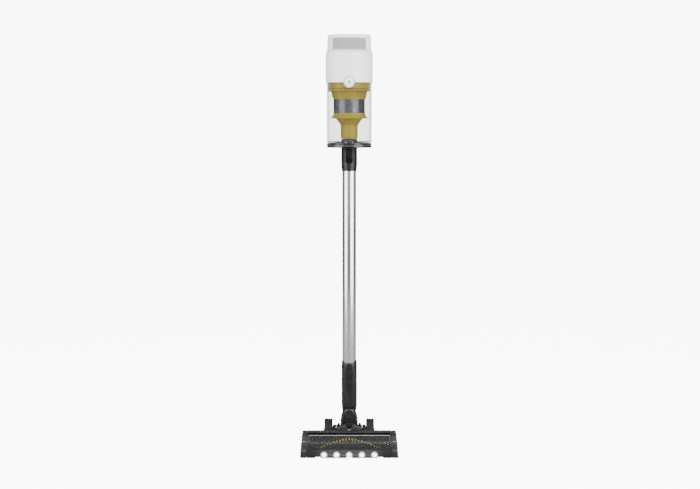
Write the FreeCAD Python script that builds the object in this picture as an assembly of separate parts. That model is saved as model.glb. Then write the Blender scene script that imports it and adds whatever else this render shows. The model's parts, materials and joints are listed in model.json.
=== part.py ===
import FreeCAD, Part
import math
import os

# Cordless stick vacuum, standing upright.  Millimetres.
# Origin: the floor point under the axis of the wand.  +Z up, the front faces -Y, +X to the right.

# ---------------------------------------------------------------- fits and walls
RUN_FIT = 0.05        # radial clearance of a shaft that turns in a hole
GAP = 0.3             # clearance between faces that slide or lift past each other
WALL = 2.5            # ordinary moulded wall
BUTTON_GAP = 0.3      # clearance around a button in its pocket

# ---------------------------------------------------------------- floor head
HEAD_HALF = 125.0     # half width at the foot of the end caps
END_CAP_WIDTH = 17.0
END_CAP_DRAFT = 3.0   # how much each end cap narrows towards its top
LIP_Y = -110.0        # front of the bumper
LIP_Z = 2.0           # underside of the bumper and the caps
SEAM_Z = 23.0         # joint between bumper and top cover
BRUSH_Y = -72.0
BRUSH_Z = 25.0
BRUSH_CORE_R = 15.0
BRUSH_TIP_R = 24.0
BRUSH_SHAFT_R = 4.0
TUFT_R = 1.3
TUFT_PITCH = 7.9
TUFTS_PER_SIDE = 11   # tufts on each side of the middle one, in each row
TUFT_START = -10.0    # degrees from the top at the middle of the roller
TUFT_TWIST = 1.35     # degrees per millimetre away from the middle
COVER_R = 33.5        # outer radius of the cover over the roller
COVER_WALL = 2.5
WINDOW_LOW = 176.0    # window from this angle, seen along +X ...
WINDOW_HIGH = 68.0    # ... to this one
WINDOW_HALF = 105.0
WINDOW_LAP = 2.0      # how far the pane reaches under the cover, along X
PANE_WALL = 2.0
HEAD_TOP_BACK_Y = -38.0
HEAD_TOP_BACK_Z = 57.0
HEAD_REAR_Y = -14.0
HEAD_REAR_Z = 38.0
CHAMBER_WALL_Y = -45.0
SOLE_Z = 3.0
SOLE_THICK = 3.0
MOUTH_MARGIN = 1.0    # how far the mouth's front edge lies inside the tip radius; twice that behind
DUCT_R = 12.0         # suction passage from the brush chamber to the wand
BUMPER_THICK = 7.0
NOTCH_X = 79.0
NOTCH_WIDTH = 15.0
NOTCH_HEIGHT = 2.6
LED_PITCH = 32.0
LED_COUNT = 5
LED_R = 3.5
LED_Z = 10.6
BEARING_R = 9.0
BEARING_WIDTH = 4.0
BRUSH_PULLEY_R = 11.0
MOTOR_PULLEY_R = 5.5
PULLEY_WIDTH = 5.0
BELT_THICK = 1.2
BRUSH_MOTOR_R = 12.0
BRUSH_MOTOR_LENGTH = 36.0
BRUSH_MOTOR_SET_BACK = 13.0   # from the end cap to the motor
BRUSH_MOTOR_Y = -29.0
BRUSH_MOTOR_Z = 21.0
BRUSH_MOTOR_SHAFT_R = 1.6
ROLLER_R = 4.5        # small front rollers
ROLLER_WIDTH = 8.0
ROLLER_PIN_R = 1.5
ROLLER_X = 118.0
ROLLER_Y = -98.0
WHEEL_R = 33.0
WHEEL_HUB_R = 24.0
WHEEL_WIDTH = 21.5
WHEEL_X = 55.0
WHEEL_Y = 50.0
WHEEL_AXLE_R = 4.0
ARM_INNER_X = 34.5
ARM_THICK = 8.5
ARM_NOSE_R = 17.0     # arm around the tilt pin
ARM_TAIL_R = 17.0     # arm around the wheel axle
SCREW_R = 1.5
SCREW_HEAD_R = 3.0

# ---------------------------------------------------------------- neck and swivel
TILT_Z = 32.0
BARREL_R = 29.5
BARREL_HALF = 33.0
TILT_PIN_R = 6.0
SWIVEL_Z = 95.0
SWIVEL_DRUM_R = 17.0
SWIVEL_DRUM_HALF = 15.0
SWIVEL_PIN_R = 5.0
SWIVEL_BOSS_R = 12.5
CHEEK_THICK = 5.5
CHEEK_R = 12.5
FORK_FOOT_HALF = 22.0
FORK_FOOT_Z = 67.0
FORK_HORN_HALF = 20.5
FORK_HORN_Z = 84.0

# ---------------------------------------------------------------- lower sleeve and wand
SLEEVE_R = 20.1
SLEEVE_FULL_Z = 113.0     # full diameter starts here
SLEEVE_COLLAR_Z = 209.0
SLEEVE_TOP_Z = 227.0
SLEEVE_TOP_R = 18.9
SLEEVE_FLAT_Y = -19.0     # flat seat for the panel and the button
PANEL_HALF = 10.0
PANEL_THICK = 2.6
PANEL_LOW_Z = 166.0
PANEL_HIGH_Z = 205.0
SLEEVE_BUTTON_WIDTH = 18.6
SLEEVE_BUTTON_LOW_Z = 125.0
SLEEVE_BUTTON_HIGH_Z = 163.0
BUTTON_TRAVEL = 1.5
TUBE_R = 17.8
TUBE_WALL = 1.5
TUBE_LOW_Z = 165.3
CONNECTOR_LOW_Z = 725.0
CONNECTOR_LOW_R = 18.9
CONNECTOR_FULL_Z = 743.0
CONNECTOR_R = 20.5
CONNECTOR_BUTTON_HALF = 9.5
CONNECTOR_BUTTON_LOW_Z = 744.0
CONNECTOR_BUTTON_HIGH_Z = 781.0
CONTACT_RIDGE_HALF = 10.0
CONTACT_RIDGE_REACH = 27.0
CABLE_DUCT_R = 3.5

# ---------------------------------------------------------------- dust bin and cyclone
BIN_R = 57.3
BIN_WALL = 2.2
BIN_FOOT_Z = 785.0
BIN_RING_Z = 794.0
BIN_TOP_Z = 948.7
NOZZLE_R = 14.5
NOZZLE_WALL = 2.0
NOZZLE_LOW_Z = 746.0
INLET_CUP_R = 21.0
INLET_CUP_Z = 807.0
FLAP_THICK = 1.5
FLAP_HINGE_HALF = 6.0
FLAP_HINGE_Y = INLET_CUP_R - 5.75
DOME_R = 10.0
DOME_X = 28.0
DOME_Y = -14.0
NECK_R = 22.0
NECK_TOP_Z = 843.0
LOWER_CONE_R = 34.0
SKIRT_LOW_Z = 859.0
SKIRT_R = 46.25
SKIRT_RIM = 2.0
MESH_R = 40.0
MESH_LOW_Z = 871.0
MESH_HIGH_Z = 909.0
MESH_WALL = 1.0
UPPER_CONE_LOW_R = 42.0
UPPER_CONE_HIGH_R = 45.0
FLANGE_LOW_Z = 927.0
FLANGE_HIGH_Z = 933.0
DRUM_R = 54.0
SEAL_THICK = 2.0
FOAM_TOP_Z = 946.0

# ---------------------------------------------------------------- motor unit
HOUSING_R = 60.0
HOUSING_LOW_Z = 949.0
HOUSING_TOP_Z = 1027.0
DECK_THICK = 3.0
DECK_HOLE_R = 22.0
RELEASE_R = 13.0          # bin release button
RELEASE_Z = 950.0
RELEASE_PROUD = 3.0
MOTOR_R = 30.0
MOTOR_HEIGHT = 46.0
MOTOR_SHAFT_R = 3.0
IMPELLER_R = 36.0
IMPELLER_HEIGHT = 7.0
CAP_R = 56.0
CAP_TOP_Z = 1070.0
CAP_ROUND = 7.0
GRILLE_HOLE_R = 1.5
GRILLE_PITCH = 5.2
GRILLE_ROW_PITCH = 3.9
GRILLE_ROWS = 8
GRILLE_COLUMNS = 17
GRILLE_LOW_Z = 1030.5
FILTER_R = 48.0
FILTER_HEIGHT = 16.0
FILTER_CORE_R = 12.0

# ---------------------------------------------------------------- handle and battery
HANDLE_HALF = 17.0
HANDLE_TOP_Z = 1022.0
BRIDGE_LOW_Z = 991.0
GRIP_FRONT_Y = 102.0
GRIP_REAR_Y = 136.0
GRIP_LOW_Z = 926.0
HEEL_FRONT_Y = 78.0
HEEL_REAR_Y = 142.0
HEEL_HEIGHT = 12.0
TRIGGER_HALF = 7.0
TRIGGER_LOW_Z = 955.0
TRIGGER_HIGH_Z = 981.0
TRIGGER_PROUD = 7.0
MODE_BUTTON_R = 7.0
MODE_BUTTON_Y = 84.0
BATTERY_HALF = 36.0
BATTERY_FRONT_Y = 76.0
BATTERY_REAR_Y = 142.0
BATTERY_HEIGHT = 57.0
CELL_R = 9.0
CELL_LENGTH = 65.0
CELL_PITCH = 18.6
CHARGE_SOCKET_R = 2.75
CHARGE_SOCKET_DEPTH = 9.0
CHARGE_SOCKET_X = 22.0
CHARGE_SOCKET_Z = 914.5
LATCH_HALF = 10.0
BATTERY_TONGUE_HALF = 9.0

# ---------------------------------------------------------------- derived places
CAP_INNER_X = HEAD_HALF - END_CAP_WIDTH
WINDOW_PANE_R = COVER_R - COVER_WALL - GAP
SLEEVE_BORE_R = TUBE_R + GAP
SLEEVE_DUCT_R = TUBE_R - TUBE_WALL - 2.0
TUBE_HIGH_Z = CONNECTOR_FULL_Z + 0.7
CONNECTOR_TOP_Z = BIN_FOOT_Z - GAP
NOZZLE_BORE_R = NOZZLE_R + GAP
DECK_Z = HOUSING_LOW_Z + SEAL_THICK + 2 * GAP
MOTOR_LOW_Z = DECK_Z + DECK_THICK
MOTOR_TOP_Z = MOTOR_LOW_Z + MOTOR_HEIGHT
IMPELLER_LOW_Z = MOTOR_TOP_Z + 3.0
BATTERY_TOP_Z = GRIP_LOW_Z - GAP
BATTERY_LOW_Z = BATTERY_TOP_Z - BATTERY_HEIGHT
ARM_OUTER_X = ARM_INNER_X + ARM_THICK
MOUTH_FRONT_Y = BRUSH_Y - BRUSH_TIP_R + MOUTH_MARGIN
MOUTH_REAR_Y = BRUSH_Y + BRUSH_TIP_R - 2 * MOUTH_MARGIN
BATTERY_TONGUE_Y = (GRIP_FRONT_Y + 6, GRIP_REAR_Y - 14)

X = FreeCAD.Vector(1, 0, 0)
Y = FreeCAD.Vector(0, 1, 0)
Z = FreeCAD.Vector(0, 0, 1)

os.makedirs("parts", exist_ok=True)


# ---------------------------------------------------------------- building blocks
def at(x, y, z):
    return FreeCAD.Vector(x, y, z)


def box(x0, x1, y0, y1, z0, z1):
    return Part.makeBox(x1 - x0, y1 - y0, z1 - z0, at(x0, y0, z0))


def rod(radius, length, start, axis):
    return Part.makeCylinder(radius, length, start, axis)


def ring(outer, inner, length, start, axis):
    return rod(outer, length, start, axis).cut(rod(inner, length, start, axis))


def both_sides(shape):
    return [shape, shape.mirror(at(0, 0, 0), X)]


def turned(outline):
    """A solid of revolution about Z from (radius, height) points."""
    points = [at(radius, 0, height) for radius, height in outline]
    face = Part.Face(Part.makePolygon(points + points[:1]))
    return face.revolve(at(0, 0, 0), Z, 360)


def side_plate(outline, x0, x1):
    """A plate along X from (y, z) points."""
    points = [at(x0, y, z) for y, z in outline]
    face = Part.Face(Part.makePolygon(points + points[:1]))
    return face.extrude(at(x1 - x0, 0, 0))


def front_plate(outline, y0, y1):
    """A plate along Y from (x, z) points."""
    points = [at(x, y0, z) for x, z in outline]
    face = Part.Face(Part.makePolygon(points + points[:1]))
    return face.extrude(at(0, y1 - y0, 0))


def obround(half_width, low, high, y0, y1):
    """A slot-shaped plug along Y that stands upright between two heights."""
    middle = box(-half_width, half_width, y0, y1, low + half_width, high - half_width)
    for height in (low + half_width, high - half_width):
        middle = middle.fuse(rod(half_width, y1 - y0, at(0, y0, height), Y))
    return middle.removeSplitter()


def polar(radius, degrees, centre_y, centre_z):
    angle = math.radians(degrees)
    return centre_y + radius * math.cos(angle), centre_z + radius * math.sin(angle)


def arc_wedge(radius, low, high, x0, x1):
    """A pie slice about the roller's axis, between two angles."""
    steps = 12
    outline = [(BRUSH_Y, BRUSH_Z)]
    for step in range(steps + 1):
        outline.append(polar(radius, low + (high - low) * step / steps, BRUSH_Y, BRUSH_Z))
    return side_plate(outline, x0, x1)


def save(name, *solids):
    shape = solids[0] if len(solids) == 1 else Part.makeCompound(list(solids))
    shape.exportStep("parts/" + name + ".step")


# ---------------------------------------------------------------- floor head shells
def head_section(inset, x0, x1):
    """The head's side outline as a plate, drawn in by an inset: round nose, sloping back."""
    nose = COVER_R - inset
    front = BRUSH_Y - nose
    middle = math.radians(135)
    bottom = LIP_Z + inset
    start = at(x0, front, BRUSH_Z)
    crown = at(x0, BRUSH_Y, BRUSH_Z + nose)
    through = at(x0, BRUSH_Y + nose * math.cos(middle), BRUSH_Z + nose * math.sin(middle))
    shoulder = at(x0, HEAD_TOP_BACK_Y - inset, HEAD_TOP_BACK_Z - inset)
    rear = at(x0, HEAD_REAR_Y - inset, HEAD_REAR_Z - inset)
    rear_foot = at(x0, HEAD_REAR_Y - inset, bottom)
    front_foot = at(x0, front, bottom)
    edges = [
        Part.makeLine(front_foot, start),
        Part.Arc(start, through, crown).toShape(),
        Part.makeLine(crown, shoulder),
        Part.makeLine(shoulder, rear),
        Part.makeLine(rear, rear_foot),
        Part.makeLine(rear_foot, front_foot),
    ]
    return Part.Face(Part.Wire(edges)).extrude(at(x1 - x0, 0, 0))


def neck_clearance():
    """The room that the tilt barrel and the rear frame need in the back of the head."""
    frame_half = ARM_OUTER_X + GAP
    return box(-frame_half, frame_half, CHAMBER_WALL_Y + WALL + 2.0, HEAD_REAR_Y + 1, -1, 90)


def roller_pocket(side):
    """The slot in an end cap where a small front roller turns."""
    centre = at(side * ROLLER_X - ROLLER_WIDTH / 2 - GAP, ROLLER_Y, ROLLER_R)
    slot = rod(ROLLER_R + 3 * GAP, ROLLER_WIDTH + 2 * GAP, centre, X)
    below = box(centre.x, centre.x + ROLLER_WIDTH + 2 * GAP,
                ROLLER_Y - ROLLER_R - 3 * GAP, ROLLER_Y + ROLLER_R + 3 * GAP, -1, ROLLER_R)
    pin = rod(ROLLER_PIN_R + RUN_FIT, ROLLER_WIDTH + 7, centre - at(3.2, 0, 0), X)
    return slot.fuse([below, pin])


def screw_places():
    outer_x = CAP_INNER_X - 7.0
    inner_x = ARM_OUTER_X + 5.5
    return [(x, HEAD_REAR_Y - 7.0) for x in (-outer_x, -inner_x, inner_x, outer_x)]


def make_top_cover():
    half = CAP_INNER_X
    shell = head_section(0, -half, half).cut(head_section(COVER_WALL, -half, half))
    shell = shell.cut(box(-half, half, -200, 200, 0, SEAM_Z))
    opening = arc_wedge(COVER_R + 5, WINDOW_HIGH, WINDOW_LOW, -WINDOW_HALF, WINDOW_HALF)
    shell = shell.cut(opening).cut(neck_clearance())
    bosses = []
    roof = head_section(1.0, -half, half)
    for x, y in screw_places():
        boss = rod(SCREW_HEAD_R + 1.0, 70, at(x, y, SEAM_Z), Z).common(roof)
        bosses.append(boss)
    shell = shell.fuse(bosses)
    for x, y in screw_places():
        shell = shell.cut(rod(SCREW_R, 12, at(x, y, SEAM_Z - 1), Z))
    return shell.removeSplitter()


def make_window():
    slice_half = WINDOW_HALF + WINDOW_LAP
    outer = rod(WINDOW_PANE_R, 2 * slice_half, at(-slice_half, BRUSH_Y, BRUSH_Z), X)
    inner = rod(WINDOW_PANE_R - PANE_WALL, 2 * slice_half, at(-slice_half, BRUSH_Y, BRUSH_Z), X)
    sector = arc_wedge(COVER_R + 5, WINDOW_HIGH - 6, WINDOW_LOW + 6, -slice_half, slice_half)
    return outer.cut(inner).common(sector)


def make_bumper():
    half = CAP_INNER_X
    back = LIP_Y + BUMPER_THICK
    outline = [(LIP_Y + 1.5, LIP_Z), (LIP_Y, LIP_Z + 2), (LIP_Y, LED_Z + 3), (LIP_Y + 1.2, SEAM_Z - 4),
               (BRUSH_Y - COVER_R, SEAM_Z), (back, SEAM_Z), (back, LIP_Z)]
    bar = side_plate(outline, -half, half)
    for x in (-NOTCH_X, 0, NOTCH_X):
        notch_start = x - NOTCH_WIDTH / 2
        notch_top = LIP_Z + NOTCH_HEIGHT
        bar = bar.cut(box(notch_start, notch_start + NOTCH_WIDTH, LIP_Y - 1, back + 1, 0, notch_top))
    for x in led_places():
        bar = bar.cut(rod(LED_R, BUMPER_THICK + 2, at(x, LIP_Y - 1, LED_Z), Y))
    return bar


def led_places():
    middle = (LED_COUNT - 1) / 2
    return [(number - middle) * LED_PITCH for number in range(LED_COUNT)]


def make_end_cap(side):
    """One end of the head: bearing seat, belt room, roller pocket and a drafted outer face."""
    inner_x = CAP_INNER_X
    cap = head_section(0, inner_x, HEAD_HALF)
    nose = box(inner_x, HEAD_HALF, LIP_Y, BRUSH_Y, LIP_Z, SEAM_Z)
    cap = cap.fuse(nose.cut(box(inner_x, HEAD_HALF, LIP_Y, LIP_Y + 1.2, SEAM_Z - 4, SEAM_Z)))
    draft = front_plate([(HEAD_HALF, LIP_Z), (HEAD_HALF + 1, LIP_Z), (HEAD_HALF + 1, COVER_R + BRUSH_Z + 1),
                         (HEAD_HALF - END_CAP_DRAFT, COVER_R + BRUSH_Z + 1)], -200, 100)
    cap = cap.cut(draft)
    seat_end = inner_x + BEARING_WIDTH
    cap = cap.cut(rod(BEARING_R, BEARING_WIDTH, at(inner_x, BRUSH_Y, BRUSH_Z), X))
    room_depth = PULLEY_WIDTH + 3.0
    cap = cap.cut(belt_block(BELT_THICK + 1.5, seat_end, seat_end + room_depth))
    cap = cap.cut(rod(BRUSH_MOTOR_SHAFT_R + GAP, 30, at(inner_x - 1, BRUSH_MOTOR_Y, BRUSH_MOTOR_Z), X).common(
        box(inner_x - 1, seat_end + 1, -200, 100, 0, 90)))
    cap = cap.cut(roller_pocket(1))
    return cap if side > 0 else cap.mirror(at(0, 0, 0), X)


# ---------------------------------------------------------------- belt drive
def belt_start_x():
    return CAP_INNER_X + BEARING_WIDTH + 1.5


def belt_block(extra, x0, x1):
    """The filled shape of a belt around both pulleys, grown by an extra radius."""
    big = BRUSH_PULLEY_R + GAP + extra
    small = MOTOR_PULLEY_R + GAP + extra
    dy = BRUSH_MOTOR_Y - BRUSH_Y
    dz = BRUSH_MOTOR_Z - BRUSH_Z
    distance = math.hypot(dy, dz)
    lean = math.atan2(dz, dy)
    spread = math.acos((big - small) / distance)
    corners = []
    brush = (BRUSH_Y, BRUSH_Z)
    motor = (BRUSH_MOTOR_Y, BRUSH_MOTOR_Z)
    for radius, centre, sign in ((big, brush, 1), (small, motor, 1), (small, motor, -1), (big, brush, -1)):
        corners.append(polar(radius, math.degrees(lean + sign * spread), *centre))
    length = x1 - x0
    block = side_plate(corners, x0, x1)
    block = block.fuse(rod(big, length, at(x0, BRUSH_Y, BRUSH_Z), X))
    return block.fuse(rod(small, length, at(x0, BRUSH_MOTOR_Y, BRUSH_MOTOR_Z), X))


def belt_loop(thickness):
    x0 = belt_start_x() + 0.5
    x1 = x0 + PULLEY_WIDTH - 1.0
    return belt_block(thickness, x0, x1).cut(belt_block(0, x0, x1))


# ---------------------------------------------------------------- floor head
def make_sole():
    """The chassis: sole plate with the brush mouth, chamber wall, front wall and a rear floor."""
    half = CAP_INNER_X
    front_y = LIP_Y + BUMPER_THICK + GAP + 2.5
    plate = box(-half, half, front_y, HEAD_REAR_Y - COVER_WALL - GAP, SOLE_Z, SOLE_Z + SOLE_THICK)
    mouth = box(-WINDOW_HALF, WINDOW_HALF, MOUTH_FRONT_Y, MOUTH_REAR_Y, 0, SOLE_Z + SOLE_THICK + 1)
    wall = box(-half, half, CHAMBER_WALL_Y, CHAMBER_WALL_Y + WALL, SOLE_Z, 90)
    inside = head_section(COVER_WALL + GAP, -half, half).fuse(box(-half, half, LIP_Y, 0, SOLE_Z, SEAM_Z - 3))
    wall = wall.common(inside)
    front_wall = box(-half, half, front_y, front_y + 2.0, SOLE_Z, SEAM_Z)
    port = rod(DUCT_R, 10, at(0, CHAMBER_WALL_Y - 5, BRUSH_Z + 1), Y)
    sole = plate.cut(mouth).fuse([wall, front_wall]).cut(port)
    sole = sole.cut(neck_clearance())
    for x, y in screw_places():
        sole = sole.cut(rod(SCREW_R, 20, at(x, y, 0), Z))
    return sole.removeSplitter()


def make_rear_frame():
    """Two arms that carry the tilt pins and the wheel axles, tied by a bar with the air port."""
    reach = WHEEL_Y
    arm = side_plate([(CHAMBER_WALL_Y + WALL + 2.3, 9), (0, 9), (reach, WHEEL_R - ARM_TAIL_R),
                      (reach, WHEEL_R + ARM_TAIL_R), (0, TILT_Z + ARM_NOSE_R),
                      (CHAMBER_WALL_Y + WALL + 2.3, TILT_Z + 12)], ARM_INNER_X, ARM_OUTER_X)
    arm = arm.fuse(rod(ARM_TAIL_R, ARM_THICK, at(ARM_INNER_X, reach, WHEEL_R), X))
    arm = arm.cut(rod(TILT_PIN_R + RUN_FIT, ARM_THICK, at(ARM_INNER_X, 0, TILT_Z), X))
    arm = arm.cut(rod(WHEEL_AXLE_R, ARM_THICK, at(ARM_INNER_X, reach, WHEEL_R), X))
    front = CHAMBER_WALL_Y + WALL + 2.3
    bar = box(-ARM_INNER_X, ARM_INNER_X, front, -BARREL_R - 2.0, 9, TILT_Z + 12)
    port = rod(DUCT_R, 30, at(0, front - 5, BRUSH_Z + 1), Y)
    clearance = rod(BARREL_R + 1.0, 2 * ARM_INNER_X, at(-ARM_INNER_X, 0, TILT_Z), X)
    frame = bar.cut(port).cut(clearance)
    return frame.fuse(both_sides(arm)).removeSplitter()


def make_leds():
    lenses = []
    for x in led_places():
        lens = rod(LED_R - 0.05, BUMPER_THICK + 1.0, at(x, LIP_Y + 0.3, LED_Z), Y)
        lenses.append(lens)
    return lenses


def make_led_board():
    y = LIP_Y + BUMPER_THICK + 1.35
    return box(-CAP_INNER_X + 15, CAP_INNER_X - 15, y, y + 1.2, LED_Z - 4, LED_Z + 6)


def make_brush_core():
    half = CAP_INNER_X - 1.0
    drum = rod(BRUSH_CORE_R, 2 * half - 4, at(-half + 2, BRUSH_Y, BRUSH_Z), X)
    reach = CAP_INNER_X + BEARING_WIDTH
    shaft = rod(BRUSH_SHAFT_R, 2 * reach + PULLEY_WIDTH + 1, at(-reach, BRUSH_Y, BRUSH_Z), X)
    return drum.fuse(shaft)


def make_tufts():
    """Two rows of bristle tufts, half a turn apart, each bent into a wide V around the roller."""
    tufts = []
    for half_turn in (0, 180):
        for number in range(-TUFTS_PER_SIDE, TUFTS_PER_SIDE + 1):
            x = number * TUFT_PITCH
            degrees = 90 + TUFT_START + TUFT_TWIST * abs(x) + half_turn
            y, z = polar(BRUSH_CORE_R, degrees, BRUSH_Y, BRUSH_Z)
            angle = math.radians(degrees)
            outward = at(0, math.cos(angle), math.sin(angle))
            tufts.append(rod(TUFT_R, BRUSH_TIP_R - BRUSH_CORE_R, at(x, y, z), outward))
    return tufts


def make_bearings():
    bearing = ring(BEARING_R, BRUSH_SHAFT_R + RUN_FIT, BEARING_WIDTH, at(CAP_INNER_X, BRUSH_Y, BRUSH_Z), X)
    return both_sides(bearing)


def make_head_motor():
    """The brush motor lies behind the chamber wall on the belt side."""
    end_x = CAP_INNER_X - BRUSH_MOTOR_SET_BACK
    start = at(end_x - BRUSH_MOTOR_LENGTH, BRUSH_MOTOR_Y, BRUSH_MOTOR_Z)
    can = rod(BRUSH_MOTOR_R, BRUSH_MOTOR_LENGTH, start, X)
    sole_top = SOLE_Z + SOLE_THICK
    foot = box(start.x + 2, end_x - 2, BRUSH_MOTOR_Y - 8, BRUSH_MOTOR_Y + 8, sole_top, BRUSH_MOTOR_Z)
    bore = rod(BRUSH_MOTOR_SHAFT_R + RUN_FIT, 20, at(end_x - 20, BRUSH_MOTOR_Y, BRUSH_MOTOR_Z), X)
    return can.fuse(foot).cut(bore)


def make_motor_pulley():
    x0 = belt_start_x()
    pulley = rod(MOTOR_PULLEY_R, PULLEY_WIDTH, at(x0, BRUSH_MOTOR_Y, BRUSH_MOTOR_Z), X)
    length = x0 - (CAP_INNER_X - BRUSH_MOTOR_SET_BACK) + 19.0
    return pulley.fuse(rod(BRUSH_MOTOR_SHAFT_R, length, at(x0 - length, BRUSH_MOTOR_Y, BRUSH_MOTOR_Z), X))


def make_brush_pulley():
    return ring(BRUSH_PULLEY_R, BRUSH_SHAFT_R, PULLEY_WIDTH, at(belt_start_x(), BRUSH_Y, BRUSH_Z), X)


def make_wheel(side):
    """Rear wheel: a dished hub, and a rounded tyre on it."""
    inner = WHEEL_X - WHEEL_WIDTH / 2
    hub = ring(WHEEL_HUB_R, WHEEL_AXLE_R + RUN_FIT, WHEEL_WIDTH - 2, at(inner + 1, WHEEL_Y, WHEEL_R), X)
    dish = ring(WHEEL_HUB_R - 3, 9, 5, at(inner + WHEEL_WIDTH - 6, WHEEL_Y, WHEEL_R), X)
    hub = hub.cut(dish)
    tyre = ring(WHEEL_R, WHEEL_HUB_R, WHEEL_WIDTH, at(inner, WHEEL_Y, WHEEL_R), X)
    rim_edges = [edge for edge in tyre.Edges if abs(edge.Length - 2 * math.pi * WHEEL_R) < 0.1]
    tyre = tyre.makeFillet(3.0, rim_edges)
    if side < 0:
        return hub.mirror(at(0, 0, 0), X), tyre.mirror(at(0, 0, 0), X)
    return hub, tyre


def make_wheel_axles():
    outer = WHEEL_X + WHEEL_WIDTH / 2
    axle = rod(WHEEL_AXLE_R, outer + 0.6 - ARM_INNER_X, at(ARM_INNER_X, WHEEL_Y, WHEEL_R), X)
    head = rod(WHEEL_AXLE_R + 3.5, 1.8, at(outer + 0.4, WHEEL_Y, WHEEL_R), X)
    return both_sides(axle.fuse(head))


def make_front_roller(side):
    x0 = side * ROLLER_X - ROLLER_WIDTH / 2
    roller = rod(ROLLER_R, ROLLER_WIDTH, at(x0, ROLLER_Y, ROLLER_R), X)
    pin_start = x0 - 2.5
    return roller.fuse(rod(ROLLER_PIN_R, ROLLER_WIDTH + 5, at(pin_start, ROLLER_Y, ROLLER_R), X))


def make_head_screws():
    screws = []
    for x, y in screw_places():
        shank = rod(SCREW_R, SEAM_Z + 8 - SOLE_Z, at(x, y, SOLE_Z), Z)
        head = rod(SCREW_HEAD_R, 1.6, at(x, y, SOLE_Z - 1.6), Z)
        screws.append(shank.fuse(head))
    return screws


# ---------------------------------------------------------------- neck
def make_tilt_barrel():
    """The hollow barrel that rolls between the arms; a slot in front lets the air in at any tilt."""
    length = 2 * BARREL_HALF
    barrel = rod(BARREL_R, length, at(-BARREL_HALF, 0, TILT_Z), X)
    hollow_half = BARREL_HALF - 4.0
    barrel = barrel.cut(rod(BARREL_R - WALL, 2 * hollow_half, at(-hollow_half, 0, TILT_Z), X))
    slot = box(-DUCT_R, DUCT_R, -BARREL_R - 1, -4, TILT_Z - BARREL_R - 1, TILT_Z + DUCT_R - 4)
    barrel = barrel.cut(slot)
    barrel = barrel.cut(rod(DUCT_R, 60, at(0, 0, TILT_Z), Z))
    barrel = barrel.cut(rod(TILT_PIN_R, 200, at(-100, 0, TILT_Z), X))
    return barrel


def make_tilt_pins():
    start = BARREL_HALF - 4.0
    return both_sides(rod(TILT_PIN_R, ARM_OUTER_X - 0.5 - start, at(start, 0, TILT_Z), X))


def make_neck_fork():
    """The black yoke on the barrel: a saddle foot, two horns and two cheeks around the swivel."""
    cheek_y = SWIVEL_DRUM_HALF + GAP
    depth = cheek_y + CHEEK_THICK
    foot = front_plate([(-FORK_FOOT_HALF, TILT_Z + 20), (FORK_FOOT_HALF, TILT_Z + 20),
                        (FORK_FOOT_HALF, FORK_FOOT_Z), (FORK_HORN_HALF, FORK_HORN_Z),
                        (-FORK_HORN_HALF, FORK_HORN_Z), (-FORK_FOOT_HALF, FORK_FOOT_Z)], -depth, depth)
    fork = foot
    for y in (-depth, cheek_y):
        cheek = rod(CHEEK_R, CHEEK_THICK, at(0, y, SWIVEL_Z), Y)
        web = front_plate([(-CHEEK_R, SWIVEL_Z), (-FORK_HORN_HALF, FORK_HORN_Z - 4),
                           (FORK_HORN_HALF, FORK_HORN_Z - 4), (CHEEK_R, SWIVEL_Z)], y, y + CHEEK_THICK)
        fork = fork.fuse([cheek, web])
    room = rod(SWIVEL_DRUM_R + GAP, 2 * cheek_y, at(0, -cheek_y, SWIVEL_Z), Y)
    fork = fork.cut(room)
    fork = fork.cut(rod(BARREL_R, 200, at(-100, 0, TILT_Z), X))
    fork = fork.cut(rod(DUCT_R - 1, 60, at(0, 0, TILT_Z), Z))
    fork = fork.cut(rod(SWIVEL_PIN_R, 100, at(0, -50, SWIVEL_Z), Y))
    return fork.removeSplitter()


def make_swivel_pins():
    """A headed pin in front and one behind, pressed in the cheeks, running in the drum's walls."""
    outer_y = SWIVEL_DRUM_HALF + GAP + CHEEK_THICK
    inner_y = SWIVEL_DRUM_HALF - WALL + 0.2
    pins = []
    for sign in (-1, 1):
        pin = rod(SWIVEL_PIN_R, outer_y - inner_y, at(0, sign * inner_y, SWIVEL_Z), Y * sign)
        head = rod(SWIVEL_BOSS_R - 1.5, 2.2, at(0, sign * outer_y, SWIVEL_Z), Y * sign)
        pins.append(pin.fuse(head))
    return pins


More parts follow.
